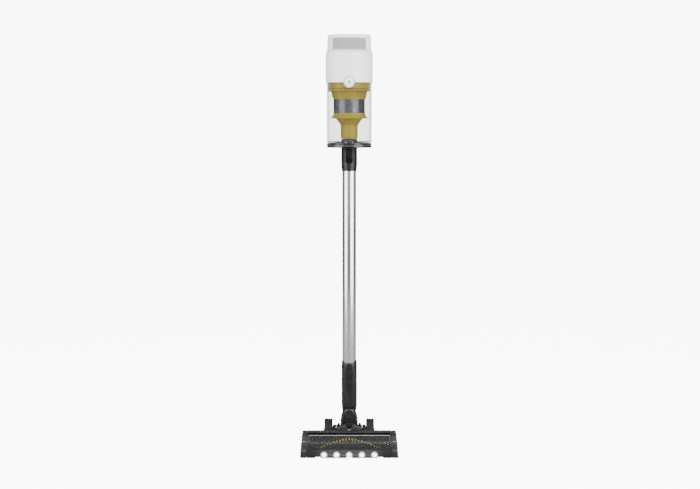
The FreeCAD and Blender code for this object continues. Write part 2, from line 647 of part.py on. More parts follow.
# ---------------------------------------------------------------- lower sleeve
def make_lower_sleeve():
    """The swivelling sleeve that the wand plugs into: drum below, socket above."""
    body = turned([(0, SLEEVE_FULL_Z), (SLEEVE_R, SLEEVE_FULL_Z), (SLEEVE_R, SLEEVE_COLLAR_Z),
                   (SLEEVE_TOP_R + 0.4, SLEEVE_TOP_Z - 1), (SLEEVE_TOP_R, SLEEVE_TOP_Z), (0, SLEEVE_TOP_Z)])
    drum = rod(SWIVEL_DRUM_R, 2 * SWIVEL_DRUM_HALF, at(0, -SWIVEL_DRUM_HALF, SWIVEL_Z), Y)
    right = [(SWIVEL_DRUM_R, SWIVEL_Z), (SWIVEL_DRUM_R, SWIVEL_Z + 4), (SLEEVE_R, SLEEVE_FULL_Z),
             (SLEEVE_R - 1, SLEEVE_FULL_Z + 5)]
    left = [(-x, z) for x, z in reversed(right)]
    throat = front_plate(right + left, -SWIVEL_DRUM_HALF + 2, SWIVEL_DRUM_HALF - 2)
    sleeve = body.fuse([drum, throat])
    hollow_half = SWIVEL_DRUM_HALF - WALL
    sleeve = sleeve.cut(rod(SWIVEL_DRUM_R - WALL, 2 * hollow_half, at(0, -hollow_half, SWIVEL_Z), Y))
    sleeve = sleeve.cut(rod(DUCT_R - 1, 40, at(0, 0, SWIVEL_Z), Z))
    sleeve = sleeve.cut(box(-DUCT_R + 1, DUCT_R - 1, -DUCT_R + 1, DUCT_R - 1, SWIVEL_Z - 30, SWIVEL_Z))
    sleeve = sleeve.cut(rod(SLEEVE_DUCT_R, 100, at(0, 0, SLEEVE_FULL_Z + 4), Z).common(
        box(-50, 50, -50, 50, 0, TUBE_LOW_Z)))
    sleeve = sleeve.cut(rod(SLEEVE_BORE_R, 100, at(0, 0, TUBE_LOW_Z - GAP), Z))
    sleeve = sleeve.cut(rod(SWIVEL_PIN_R + RUN_FIT, 100, at(0, -50, SWIVEL_Z), Y))
    flat = box(-PANEL_HALF - GAP, PANEL_HALF + GAP, -50, SLEEVE_FLAT_Y, SLEEVE_FULL_Z + 6, PANEL_HIGH_Z + GAP)
    sleeve = sleeve.cut(flat)
    half = SLEEVE_BUTTON_WIDTH / 2 + BUTTON_GAP
    pocket = obround(half, SLEEVE_BUTTON_LOW_Z - BUTTON_GAP, SLEEVE_BUTTON_HIGH_Z + BUTTON_GAP,
                     -50, SLEEVE_FLAT_Y + 2.2)
    return sleeve.cut(pocket)


def make_sleeve_panel():
    front = SLEEVE_FLAT_Y - PANEL_THICK
    panel = box(-PANEL_HALF, PANEL_HALF, front, SLEEVE_FLAT_Y, PANEL_LOW_Z, PANEL_HIGH_Z)
    groove = box(-PANEL_HALF, PANEL_HALF, front, front + 0.6, PANEL_LOW_Z + 17.5, PANEL_LOW_Z + 18.5)
    return panel.cut(groove)


def make_sleeve_button():
    front = SLEEVE_FLAT_Y - 2.4
    return obround(SLEEVE_BUTTON_WIDTH / 2, SLEEVE_BUTTON_LOW_Z, SLEEVE_BUTTON_HIGH_Z, front,
                   SLEEVE_FLAT_Y + 2.2 - BUTTON_TRAVEL - 0.2)


# ---------------------------------------------------------------- wand
def make_wand_tube():
    return ring(TUBE_R, TUBE_R - TUBE_WALL, TUBE_HIGH_Z - TUBE_LOW_Z, at(0, 0, TUBE_LOW_Z), Z)


def make_cable_duct():
    """The closed channel inside the wand that carries the brush motor's wires."""
    y = TUBE_R - TUBE_WALL - CABLE_DUCT_R - 0.2
    return rod(CABLE_DUCT_R, TUBE_HIGH_Z - TUBE_LOW_Z - 6, at(0, y, TUBE_LOW_Z + 3), Z)


def make_upper_connector():
    body = turned([(0, CONNECTOR_LOW_Z), (CONNECTOR_LOW_R, CONNECTOR_LOW_Z), (CONNECTOR_R, CONNECTOR_FULL_Z),
                   (CONNECTOR_R, CONNECTOR_TOP_Z), (0, CONNECTOR_TOP_Z)])
    ridge = box(-CONTACT_RIDGE_HALF, CONTACT_RIDGE_HALF, 10, CONTACT_RIDGE_REACH,
                CONNECTOR_FULL_Z - 6, CONNECTOR_TOP_Z)
    connector = body.fuse(ridge)
    connector = connector.cut(rod(TUBE_R, TUBE_HIGH_Z - CONNECTOR_LOW_Z, at(0, 0, CONNECTOR_LOW_Z), Z))
    connector = connector.cut(rod(NOZZLE_BORE_R, 100, at(0, 0, CONNECTOR_LOW_Z), Z))
    floor_y = -NOZZLE_BORE_R - 2.6
    half = CONNECTOR_BUTTON_HALF + BUTTON_GAP
    pocket = obround(half, CONNECTOR_BUTTON_LOW_Z - BUTTON_GAP, CONNECTOR_BUTTON_HIGH_Z + 40, -50, floor_y)
    pocket = pocket.common(box(-50, 50, -60, 0, 0, CONNECTOR_BUTTON_HIGH_Z + BUTTON_GAP))
    return connector.cut(pocket).removeSplitter()


def make_upper_button():
    floor_y = -NOZZLE_BORE_R - 2.6
    plug = obround(CONNECTOR_BUTTON_HALF, CONNECTOR_BUTTON_LOW_Z, CONNECTOR_BUTTON_HIGH_Z + 40,
                   -CONNECTOR_R - 0.6, floor_y - BUTTON_TRAVEL - 0.2)
    return plug.common(box(-50, 50, -60, 0, 0, CONNECTOR_BUTTON_HIGH_Z))


# ---------------------------------------------------------------- dust bin
def make_bin_cup():
    return ring(BIN_R, BIN_R - BIN_WALL, BIN_TOP_Z - BIN_RING_Z, at(0, 0, BIN_RING_Z), Z)


def make_bin_base():
    inner = BIN_R - BIN_WALL - 0.2
    return turned([(INLET_CUP_R, BIN_FOOT_Z), (BIN_R - 7, BIN_FOOT_Z + 1.5), (BIN_R, BIN_FOOT_Z + 5.5),
                   (BIN_R, BIN_RING_Z), (inner, BIN_RING_Z), (inner, BIN_RING_Z + 3),
                   (inner - 2, BIN_RING_Z + 3), (inner - 2, BIN_FOOT_Z + 4), (INLET_CUP_R, BIN_FOOT_Z + 4)])


def make_inlet_pipe():
    bore = NOZZLE_R - NOZZLE_WALL
    return turned([(bore, NOZZLE_LOW_Z), (NOZZLE_R, NOZZLE_LOW_Z), (NOZZLE_R, BIN_FOOT_Z),
                   (INLET_CUP_R, BIN_FOOT_Z), (INLET_CUP_R, INLET_CUP_Z), (INLET_CUP_R - 2.5, INLET_CUP_Z),
                   (INLET_CUP_R - 2.5, BIN_FOOT_Z + 5), (bore, BIN_FOOT_Z + 5)])


def make_inlet_flap():
    """The rubber flap that lies on the pipe's mouth and lifts when air is drawn in."""
    low = BIN_FOOT_Z + 5 + GAP
    disc = rod(NOZZLE_R - 0.7, FLAP_THICK, at(0, 0, low), Z)
    tail = box(-FLAP_HINGE_HALF, FLAP_HINGE_HALF, 8, FLAP_HINGE_Y, low, low + FLAP_THICK)
    hinge_end = at(-FLAP_HINGE_HALF, FLAP_HINGE_Y, low + FLAP_THICK / 2)
    hinge = rod(FLAP_THICK / 2, 2 * FLAP_HINGE_HALF, hinge_end, X)
    return disc.fuse([tail, hinge])


def make_base_domes():
    low = BIN_FOOT_Z + 4
    dome = Part.makeSphere(DOME_R, at(DOME_X, DOME_Y, low + 1.5))
    dome = dome.cut(box(0, 60, -60, 60, low - 20, low))
    return both_sides(dome)


# ---------------------------------------------------------------- cyclone
def make_cyclone_drum():
    """Filter drum with its ring flange, and the cone that runs down to the mesh."""
    flange_r = BIN_R - BIN_WALL - GAP
    return turned([(DRUM_R, BIN_TOP_Z), (DRUM_R, FLANGE_HIGH_Z), (flange_r, FLANGE_HIGH_Z),
                   (flange_r, FLANGE_LOW_Z), (UPPER_CONE_HIGH_R, FLANGE_LOW_Z),
                   (UPPER_CONE_LOW_R, MESH_HIGH_Z), (UPPER_CONE_LOW_R - WALL, MESH_HIGH_Z),
                   (UPPER_CONE_HIGH_R - WALL, FLANGE_LOW_Z + 2),
                   (DRUM_R - WALL, FLANGE_LOW_Z + 3), (DRUM_R - WALL, BIN_TOP_Z)])


def make_cyclone_mesh():
    return ring(MESH_R, MESH_R - MESH_WALL, MESH_HIGH_Z - MESH_LOW_Z, at(0, 0, MESH_LOW_Z), Z)


def make_cyclone_skirt():
    """Flared skirt under the mesh, the lower cone and the neck that stands on the inlet cup."""
    foot = INLET_CUP_Z + GAP
    return turned([(MESH_R, MESH_LOW_Z), (SKIRT_R, SKIRT_LOW_Z + SKIRT_RIM), (SKIRT_R, SKIRT_LOW_Z),
                   (LOWER_CONE_R, SKIRT_LOW_Z), (NECK_R, NECK_TOP_Z), (NECK_R, foot),
                   (NECK_R - WALL, foot), (NECK_R - WALL, NECK_TOP_Z + 0.5),
                   (LOWER_CONE_R - 3, SKIRT_LOW_Z + 2), (MESH_R - WALL, MESH_LOW_Z)])


def make_cyclone_seal():
    return ring(DRUM_R + 0.5, DRUM_R - WALL, SEAL_THICK, at(0, 0, BIN_TOP_Z), Z)


def make_prefilter():
    radius = DRUM_R - WALL - GAP
    low = FLANGE_LOW_Z + 3 + GAP
    return rod(radius, FOAM_TOP_Z - low, at(0, 0, low), Z)


# ---------------------------------------------------------------- motor unit
def make_main_housing():
    """White motor housing: wall, deck over the filter, top plate, and the tab of the release button."""
    height = HOUSING_TOP_Z - HOUSING_LOW_Z
    shell = ring(HOUSING_R, HOUSING_R - WALL, height, at(0, 0, HOUSING_LOW_Z), Z)
    deck = ring(HOUSING_R - WALL, DECK_HOLE_R, DECK_THICK, at(0, 0, DECK_Z), Z)
    top = ring(HOUSING_R - WALL, FILTER_R - 6, DECK_THICK, at(0, 0, HOUSING_TOP_Z - DECK_THICK), Z)
    tab_back = -BIN_R - 0.4
    tab = rod(RELEASE_R + 2, HOUSING_R + 2.4 + tab_back, at(0, tab_back, RELEASE_Z), Y * -1)
    shell = shell.fuse([deck, top, tab])
    pocket = rod(RELEASE_R + BUTTON_GAP, 30, at(0, tab_back - 0.7, RELEASE_Z), Y * -1)
    return shell.cut(pocket).removeSplitter()


def make_release_button():
    back = -BIN_R - 0.4 - 0.7 - BUTTON_TRAVEL - 0.2
    front = -HOUSING_R - RELEASE_PROUD
    return rod(RELEASE_R, back - front, at(0, front, RELEASE_Z), Y)


def make_motor():
    can = rod(MOTOR_R, MOTOR_HEIGHT, at(0, 0, MOTOR_LOW_Z), Z)
    return can.cut(rod(MOTOR_SHAFT_R + RUN_FIT, 24, at(0, 0, MOTOR_TOP_Z - 22), Z))


def make_impeller():
    disc = rod(IMPELLER_R, 1.5, at(0, 0, IMPELLER_LOW_Z), Z)
    hub = rod(9, IMPELLER_HEIGHT, at(0, 0, IMPELLER_LOW_Z), Z)
    shaft = rod(MOTOR_SHAFT_R, IMPELLER_LOW_Z - MOTOR_TOP_Z + 21, at(0, 0, MOTOR_TOP_Z - 20), Z)
    fan = disc.fuse([hub, shaft])
    blades = []
    count = 9
    for number in range(count):
        blade = box(8, IMPELLER_R - 1, -0.6, 0.6, IMPELLER_LOW_Z + 1, IMPELLER_LOW_Z + IMPELLER_HEIGHT)
        blade.rotate(at(0, 0, 0), Z, 360.0 * number / count)
        blades.append(blade)
    return fan.fuse(blades).removeSplitter()


def make_exhaust_cap():
    """Round white cap with a staggered field of vent holes in front."""
    height = CAP_TOP_Z - HOUSING_TOP_Z - GAP
    foot = HOUSING_TOP_Z + GAP
    outer = rod(CAP_R, height, at(0, 0, foot), Z)
    rim = [edge for edge in outer.Edges if abs(edge.BoundBox.ZMin - CAP_TOP_Z) < 0.01]
    outer = outer.makeFillet(CAP_ROUND, rim)
    inner = rod(CAP_R - WALL, height - WALL, at(0, 0, foot), Z)
    cap = outer.cut(inner)
    holes = []
    for row in range(GRILLE_ROWS):
        z = GRILLE_LOW_Z + row * GRILLE_ROW_PITCH
        shift = 0.5 * (row % 2)
        for column in range(GRILLE_COLUMNS - row % 2):
            x = (column - (GRILLE_COLUMNS - 1) / 2 + shift) * GRILLE_PITCH
            y = -math.sqrt(CAP_R ** 2 - x ** 2)
            holes.append(rod(GRILLE_HOLE_R, 9, at(x * 0.93, y + 8, z), at(x * 0.07, -8, 0)))
    return cap.cut(Part.makeCompound(holes))


def make_exhaust_filter():
    return ring(FILTER_R, FILTER_CORE_R, FILTER_HEIGHT, at(0, 0, HOUSING_TOP_Z + GAP), Z)


# ---------------------------------------------------------------- handle
def handle_outline(inset):
    """Side outline of the pistol grip: bridge, grip and heel."""
    points = [(20, HANDLE_TOP_Z), (GRIP_REAR_Y - 16, HANDLE_TOP_Z), (GRIP_REAR_Y - 2, HANDLE_TOP_Z - 12),
              (GRIP_REAR_Y + 2, GRIP_LOW_Z + 40), (HEEL_REAR_Y, GRIP_LOW_Z + HEEL_HEIGHT),
              (HEEL_REAR_Y, GRIP_LOW_Z), (HEEL_FRONT_Y, GRIP_LOW_Z),
              (HEEL_FRONT_Y, GRIP_LOW_Z + HEEL_HEIGHT - 4),
              (GRIP_FRONT_Y + 2, GRIP_LOW_Z + HEEL_HEIGHT + 6), (GRIP_FRONT_Y, BRIDGE_LOW_Z - 8),
              (GRIP_FRONT_Y - 8, BRIDGE_LOW_Z), (20, BRIDGE_LOW_Z)]
    vectors = [at(0, y, z) for y, z in points]
    wire = Part.makePolygon(vectors + vectors[:1])
    face = Part.Face(wire)
    if inset:
        face = face.makeOffset2D(-inset)
        face = face if face.ShapeType == "Face" else Part.Face(face.Wires[0])
    return face


def handle_bosses():
    bridge = (HOUSING_R + 12, HANDLE_TOP_Z - 15)
    shoulder = (GRIP_FRONT_Y + 22, HANDLE_TOP_Z - 18)
    heel = (GRIP_REAR_Y - 6, GRIP_LOW_Z + 8)
    return [bridge, shoulder, heel]


def make_handle_half(side):
    """One half of the grip, split at the middle plane, with screw bosses and room for the trigger."""
    outer = handle_outline(0).extrude(at(HANDLE_HALF, 0, 0))
    inner = handle_outline(WALL).extrude(at(HANDLE_HALF - WALL, 0, 0))
    half = outer.cut(inner)
    for y, z in handle_bosses():
        half = half.fuse(rod(4.0, HANDLE_HALF - 1, at(0, y, z), X))
    half = half.cut(rod(HOUSING_R, 200, at(0, 0, 900), Z))
    half = half.cut(box(-1, TRIGGER_HALF + BUTTON_GAP, GRIP_FRONT_Y - 5, GRIP_FRONT_Y + 10,
                        TRIGGER_LOW_Z - BUTTON_GAP, TRIGGER_HIGH_Z + BUTTON_GAP))
    half = half.cut(rod(MODE_BUTTON_R + BUTTON_GAP, 20, at(0, MODE_BUTTON_Y, HANDLE_TOP_Z - 8), Z))
    half = half.cut(box(-1, BATTERY_TONGUE_HALF + GAP, BATTERY_TONGUE_Y[0] - GAP, BATTERY_TONGUE_Y[1] + GAP,
                        GRIP_LOW_Z - 1, GRIP_LOW_Z + WALL + 1))
    if side < 0:
        half = half.mirror(at(0, 0, 0), X)
    for y, z in handle_bosses():
        half = half.cut(rod(SCREW_R, 60, at(-30, y, z), X))
    return half.removeSplitter()


def make_handle_screws():
    screws = []
    for y, z in handle_bosses():
        shank = rod(SCREW_R, 2 * HANDLE_HALF - 6, at(-HANDLE_HALF + 6, y, z), X)
        head = rod(SCREW_HEAD_R, 1.6, at(HANDLE_HALF, y, z), X)
        screws.append(shank.fuse(head))
    return screws


def make_trigger():
    """The trigger stands out of the grip's front wall and slides back into it."""
    front = GRIP_FRONT_Y - TRIGGER_PROUD
    body = box(-TRIGGER_HALF, TRIGGER_HALF, front, GRIP_FRONT_Y + 4, TRIGGER_LOW_Z, TRIGGER_HIGH_Z)
    edges = [edge for edge in body.Edges if abs(edge.CenterOfMass.y - front) < 0.01]
    return body.makeFillet(2.0, edges)


def make_mode_button():
    return rod(MODE_BUTTON_R, 5.2, at(0, MODE_BUTTON_Y, HANDLE_TOP_Z - 4), Z)


def make_control_board():
    y = GRIP_FRONT_Y + 14
    half = HANDLE_HALF - WALL - 0.2
    return box(-half, half, y, y + 1.6, TRIGGER_LOW_Z - 8, TRIGGER_HIGH_Z + 6)


# ---------------------------------------------------------------- battery
def make_battery_case():
    outer = box(-BATTERY_HALF, BATTERY_HALF, BATTERY_FRONT_Y, BATTERY_REAR_Y, BATTERY_LOW_Z, BATTERY_TOP_Z)
    corners = [edge for edge in outer.Edges if abs(edge.tangentAt(0).z) > 0.9]
    outer = outer.makeFillet(6.0, corners)
    inner = box(-BATTERY_HALF + WALL, BATTERY_HALF - WALL, BATTERY_FRONT_Y + WALL, BATTERY_REAR_Y - WALL,
                BATTERY_LOW_Z + WALL, BATTERY_TOP_Z - WALL)
    case = outer.cut(inner)
    tongue = box(-BATTERY_TONGUE_HALF, BATTERY_TONGUE_HALF, *BATTERY_TONGUE_Y, BATTERY_TOP_Z - WALL,
                 BATTERY_TOP_Z + GAP + WALL)
    socket = rod(CHARGE_SOCKET_R + 2.5, CHARGE_SOCKET_DEPTH,
                 at(CHARGE_SOCKET_X, BATTERY_REAR_Y - CHARGE_SOCKET_DEPTH, CHARGE_SOCKET_Z), Y)
    case = case.fuse([tongue, socket])
    hole = rod(CHARGE_SOCKET_R, CHARGE_SOCKET_DEPTH,
               at(CHARGE_SOCKET_X, BATTERY_REAR_Y - CHARGE_SOCKET_DEPTH, CHARGE_SOCKET_Z), Y)
    latch_z = BATTERY_TOP_Z - 13
    slot = box(-LATCH_HALF - BUTTON_GAP, LATCH_HALF + BUTTON_GAP, BATTERY_REAR_Y - 4, BATTERY_REAR_Y + 1,
               latch_z - 6 - BUTTON_GAP, latch_z + 6 + BUTTON_GAP)
    return case.cut(hole).cut(slot)


def make_battery_latch():
    latch_z = BATTERY_TOP_Z - 13
    return box(-LATCH_HALF, LATCH_HALF, BATTERY_REAR_Y - 2.2, BATTERY_REAR_Y + 1.6, latch_z - 6, latch_z + 6)


def make_battery_cells():
    """Six round cells in two layers of three."""
    cells = []
    middle_y = BATTERY_FRONT_Y + WALL + GAP + CELL_R
    low_z = BATTERY_LOW_Z + WALL + GAP + CELL_R
    for layer in range(2):
        for row in range(3):
            start = at(-CELL_LENGTH / 2, middle_y + row * CELL_PITCH, low_z + layer * CELL_PITCH)
            cells.append(rod(CELL_R, CELL_LENGTH, start, X))
    return cells


# ---------------------------------------------------------------- the assembly, piece by piece
save("head_base", make_sole())
save("head_top_cover", make_top_cover())
save("brush_window", make_window())
save("end_cap_left", make_end_cap(-1))
save("end_cap_right", make_end_cap(1))
save("front_bumper", make_bumper())
save("led_board", make_led_board())
save("led_lenses", *make_leds())
save("brush_core", make_brush_core())
save("brush_tufts", *make_tufts())
save("brush_pulley", make_brush_pulley())
save("brush_bearings", *make_bearings())
save("brush_motor", make_head_motor())
save("motor_pulley", make_motor_pulley())
save("drive_belt", belt_loop(BELT_THICK))
save("rear_frame", make_rear_frame())
save("head_screws", *make_head_screws())
save("wheel_axles", *make_wheel_axles())
for side_name, side in (("left", -1), ("right", 1)):
    wheel_hub, wheel_tyre = make_wheel(side)
    save("rear_wheel_" + side_name, wheel_hub)
    save("rear_tyre_" + side_name, wheel_tyre)
    save("front_roller_" + side_name, make_front_roller(side))
    save("handle_shell_" + side_name, make_handle_half(side))
save("tilt_barrel", make_tilt_barrel())
save("tilt_pins", *make_tilt_pins())
save("neck_fork", make_neck_fork())
save("swivel_pins", *make_swivel_pins())
save("lower_sleeve", make_lower_sleeve())
save("sleeve_front_panel", make_sleeve_panel())
save("sleeve_button", make_sleeve_button())
save("wand_tube", make_wand_tube())
save("cable_duct", make_cable_duct())
save("upper_connector", make_upper_connector())
save("upper_button", make_upper_button())
save("bin_cup", make_bin_cup())
save("bin_base", make_bin_base())
save("inlet_pipe", make_inlet_pipe())
save("inlet_flap", make_inlet_flap())
save("bin_base_domes", *make_base_domes())
save("cyclone_drum", make_cyclone_drum())
save("cyclone_mesh", make_cyclone_mesh())
save("cyclone_skirt", make_cyclone_skirt())
save("cyclone_seal", make_cyclone_seal())
save("prefilter_foam", make_prefilter())
save("main_housing", make_main_housing())
save("bin_release_button", make_release_button())
save("motor_can", make_motor())
save("impeller", make_impeller())
save("exhaust_cap", make_exhaust_cap())
save("exhaust_filter", make_exhaust_filter())
save("handle_screws", *make_handle_screws())
save("trigger", make_trigger())
save("mode_button", make_mode_button())
save("control_board", make_control_board())
save("battery_case", make_battery_case())
save("battery_latch", make_battery_latch())
save("battery_cells", *make_battery_cells())
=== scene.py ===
"""Looks of a cordless stick vacuum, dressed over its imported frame.

Sizes are in millimetres in the builders and in metres in the scene. Z is up, the front faces -Y,
and the wand stands on the Z axis.
"""

import json
import logging
import math
from dataclasses import dataclass, field
from enum import Enum
from typing import Callable, Iterable, Mapping, Optional, Sequence, Tuple, Union

import bmesh
import bpy
from mathutils import Matrix, Vector, noise

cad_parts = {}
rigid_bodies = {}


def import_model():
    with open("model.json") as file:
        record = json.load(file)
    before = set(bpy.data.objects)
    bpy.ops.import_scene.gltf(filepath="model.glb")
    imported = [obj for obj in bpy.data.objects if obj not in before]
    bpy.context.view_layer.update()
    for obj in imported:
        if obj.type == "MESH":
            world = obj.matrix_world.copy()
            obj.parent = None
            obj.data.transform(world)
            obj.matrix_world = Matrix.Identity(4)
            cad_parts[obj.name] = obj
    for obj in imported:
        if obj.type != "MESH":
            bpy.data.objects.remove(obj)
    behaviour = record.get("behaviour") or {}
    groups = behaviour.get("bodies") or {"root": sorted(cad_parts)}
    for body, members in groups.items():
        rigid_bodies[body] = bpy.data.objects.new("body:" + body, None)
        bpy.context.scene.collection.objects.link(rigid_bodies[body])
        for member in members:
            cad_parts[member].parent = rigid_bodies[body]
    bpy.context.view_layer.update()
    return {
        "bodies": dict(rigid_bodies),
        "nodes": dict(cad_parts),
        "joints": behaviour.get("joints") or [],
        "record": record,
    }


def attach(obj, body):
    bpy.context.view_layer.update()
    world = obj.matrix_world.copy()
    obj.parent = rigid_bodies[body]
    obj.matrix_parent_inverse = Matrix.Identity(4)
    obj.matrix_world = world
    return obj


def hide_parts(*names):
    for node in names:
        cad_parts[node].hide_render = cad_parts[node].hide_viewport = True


LOG = logging.getLogger("stick_vacuum")
MM = 0.001
ROUND = 128
LIE_X = Matrix.Rotation(math.pi / 2, 4, "Y")
LIE_Y = Matrix.Rotation(math.pi / 2, 4, "X")
Colour = Tuple[float, float, float]
Point = Tuple[float, ...]
Sockets = Mapping[str, bpy.types.NodeSocket]
Value = Union[float, Sequence[float], bpy.types.NodeSocket]


# ---------------------------------------------------------------- shader sheets
class Sheet:
    """Lays out nodes in one shader tree."""

    def __init__(self, tree: bpy.types.NodeTree) -> None:
        """Keeps the tree that the nodes go into."""
        self.tree = tree

    def node(self, kind: str, sockets: Optional[dict] = None, **settings: object) -> bpy.types.Node:
        """Adds a node.

        Args:
            kind: the node's type.
            sockets: socket name to number, colour or the output that feeds it.
            settings: attributes of the node.

        Returns:
            The node.
        """
        made = self.tree.nodes.new(kind)
        for name, value in settings.items():
            setattr(made, name, value)
        for name, value in (sockets or {}).items():
            self.feed(made.inputs[name], value)
        return made

    def feed(self, socket: bpy.types.NodeSocket, value: Value) -> None:
        """Sets a socket to a value, or links an output to it.

        Args:
            socket: socket to set.
            value: number, colour or output.
        """
        if isinstance(value, bpy.types.NodeSocket):
            self.tree.links.new(value, socket)
        else:
            socket.default_value = value

    def sum(self, operation: str, *values: Value) -> bpy.types.NodeSocket:
        """Adds a Math node and returns its result.

        Args:
            operation: kind of sum.
            values: what goes in.

        Returns:
            The output that holds the result.
        """
        made = self.node("ShaderNodeMath", operation=operation)
        for socket, value in zip(made.inputs, values):
            self.feed(socket, value)
        return made.outputs[0]

    def blend(self, factor: Value, first: Value, second: Value) -> bpy.types.NodeSocket:
        """Mixes two colours and returns the result.

        Args:
            factor: share of the second colour.
            first: colour at 0.
            second: colour at 1.

        Returns:
            The output that holds the result.
        """
        made = self.node("ShaderNodeMix", data_type="RGBA")
        self.feed(made.inputs[0], factor)
        self.feed(made.inputs[6], (*first, 1.0) if isinstance(first, tuple) else first)
        self.feed(made.inputs[7], (*second, 1.0) if isinstance(second, tuple) else second)
        return made.outputs[2]

    def ramp(
        self, value: Value, low: float, high: float, to_low: float = 0.0, to_high: float = 1.0
    ) -> bpy.types.NodeSocket:
        """Maps a value smoothly from one range to another and returns the result.

        Args:
            value: number, colour or output.
            low: lower end.
            high: upper end.
            to_low: result at the lower end.
            to_high: result at the upper end.

        Returns:
            The output that holds the result.
        """
        made = self.node("ShaderNodeMapRange", interpolation_type="SMOOTHSTEP")
        for name, number in zip(
            ("Value", "From Min", "From Max", "To Min", "To Max"), (value, low, high, to_low, to_high)
        ):
            self.feed(made.inputs[name], number)
        return made.outputs["Result"]

    def place(self) -> bpy.types.NodeSocket:
        """Returns the object coordinates."""
        return self.node("ShaderNodeTexCoord").outputs["Object"]


def shared_group(
    name: str, inputs: Sequence[str], outputs: Sequence[str], fill: Callable
) -> bpy.types.NodeTree:
    """Makes a shader group once and hands the same one out afterwards.

    Args:
        name: the group's name.
        inputs: names of its number inputs.
        outputs: names of its outputs, where Normal is a vector.
        fill: called with the sheet, the input sockets and the output sockets to lay out its nodes.

    Returns:
        The group.
    """
    if name in bpy.data.node_groups:
        return bpy.data.node_groups[name]
    tree = bpy.data.node_groups.new(name, "ShaderNodeTree")
    for text in inputs:
        tree.interface.new_socket(text, in_out="INPUT", socket_type="NodeSocketFloat")
    for text in outputs:
        kind = "NodeSocketVector" if text == "Normal" else "NodeSocketFloat"
        tree.interface.new_socket(text, in_out="OUTPUT", socket_type=kind)
    sheet = Sheet(tree)
    start = sheet.node("NodeGroupInput").outputs
    end = sheet.node("NodeGroupOutput").inputs
    fill(sheet, start, end)
    return tree


def fill_grain(sheet: Sheet, start: Sockets, end: Sockets) -> None:
    """Fine moulded grain: a fleck, a slow cloud, and a bump from both.

    Args:
        sheet: the group's sheet.
        start: the group's input sockets.
        end: the group's output sockets.
    """
    coarse = sheet.node(
        "ShaderNodeTexNoise", {"Vector": sheet.place(), "Scale": start["Scale"], "Detail": 3.0}
    )
    cloud = sheet.node("ShaderNodeTexNoise", {"Vector": sheet.place(), "Scale": 22.0, "Detail": 4.0})
    mixed = sheet.sum(
        "MULTIPLY_ADD", coarse.outputs["Fac"], 0.6, sheet.sum("MULTIPLY", cloud.outputs["Fac"], 0.4)
    )
    bump = sheet.node(
        "ShaderNodeBump", {"Height": coarse.outputs["Fac"], "Strength": start["Bump"], "Distance": 0.0004}
    )
    for name, value in (
        ("Fleck", mixed), ("Cloud", cloud.outputs["Fac"]), ("Normal", bump.outputs["Normal"])
    ):
        sheet.feed(end[name], value)


def fill_brushed(sheet: Sheet, start: Sockets, end: Sockets) -> None:
    """Fine lines drawn along Z, as a drawn and anodised tube has.

    Args:
        sheet: the group's sheet.
        start: the group's input sockets.
        end: the group's output sockets.
    """
    stretched = sheet.node("ShaderNodeMapping", {"Vector": sheet.place(), "Scale": (900.0, 900.0, 6.0)})
    lines = sheet.node("ShaderNodeTexNoise", {"Vector": stretched.outputs[0], "Scale": 1.0, "Detail": 2.0})
    bump = sheet.node(
        "ShaderNodeBump", {"Height": lines.outputs["Fac"], "Strength": start["Bump"], "Distance": 0.0002}
    )
    sheet.feed(end["Fleck"], lines.outputs["Fac"])
    sheet.feed(end["Normal"], bump.outputs["Normal"])


def fill_weave(sheet: Sheet, start: Sockets, end: Sockets) -> None:
    """Rows of small round holes around the Z axis.

    Args:
        sheet: the group's sheet.
        start: the group's input sockets.
        end: the group's output sockets.
    """
    axes = sheet.node("ShaderNodeSeparateXYZ", {"Vector": sheet.place()}).outputs
    angle = sheet.sum("ARCTAN2", axes["Y"], axes["X"])
    across = sheet.sum("SINE", sheet.sum("MULTIPLY", angle, start["Count"]))
    along = sheet.sum("SINE", sheet.sum("MULTIPLY", axes["Z"], start["Rate"]))
    dots = sheet.sum("MULTIPLY", across, along)
    hole = sheet.ramp(dots, 0.25, 0.5)
    bump = sheet.node("ShaderNodeBump", {"Height": hole, "Strength": 0.5, "Distance": -0.0003})
    sheet.feed(end["Hole"], hole)
    sheet.feed(end["Normal"], bump.outputs["Normal"])


def fill_painted_lamp_glow(sheet: Sheet, start: Sockets, end: Sockets) -> None:
    """Round pools of painted glow at an even pitch along X, fading outwards, and a faint painted wash.

    Args:
        sheet: the group's sheet.
        start: the group's input sockets.
        end: the group's output sockets.
    """
    axes = sheet.node("ShaderNodeSeparateXYZ", {"Vector": sheet.place()}).outputs
    half = sheet.sum("MULTIPLY", start["Pitch"], 0.5)
    shifted = sheet.sum("ADD", axes["X"], sheet.sum("MULTIPLY", start["Pitch"], 10.0))
    along = sheet.sum("PINGPONG", shifted, half)
    up = sheet.sum("SUBTRACT", axes["Z"], start["Height"])
    reach = sheet.sum("SQRT", sheet.sum("ADD", sheet.sum("POWER", along, 2.0), sheet.sum("POWER", up, 2.0)))
    inside = sheet.sum("LESS_THAN", sheet.sum("ABSOLUTE", axes["X"]), start["Limit"])
    core = sheet.ramp(reach, start["Outer"], sheet.sum("MULTIPLY", start["Outer"], 0.2))
    wash = sheet.ramp(
        sheet.sum("ABSOLUTE", axes["X"]), sheet.sum("MULTIPLY", start["Limit"], 1.25),
        sheet.sum("MULTIPLY", start["Limit"], 0.6)
    )
    sheet.feed(end["Core"], sheet.sum("MULTIPLY", core, inside))
    sheet.feed(end["Wash"], wash)


class Surface(Enum):
    """Kinds of surface that a finish can have."""

    MOULDED = "moulded"
    BRUSHED = "brushed"
    WOVEN = "woven"
    CLEAR = "clear"
    PILE = "pile"
    FOAM = "foam"
    BOARD = "board"
    # LAMP: moulded, with painted glow round the lamps.
    LAMP = "lamp"


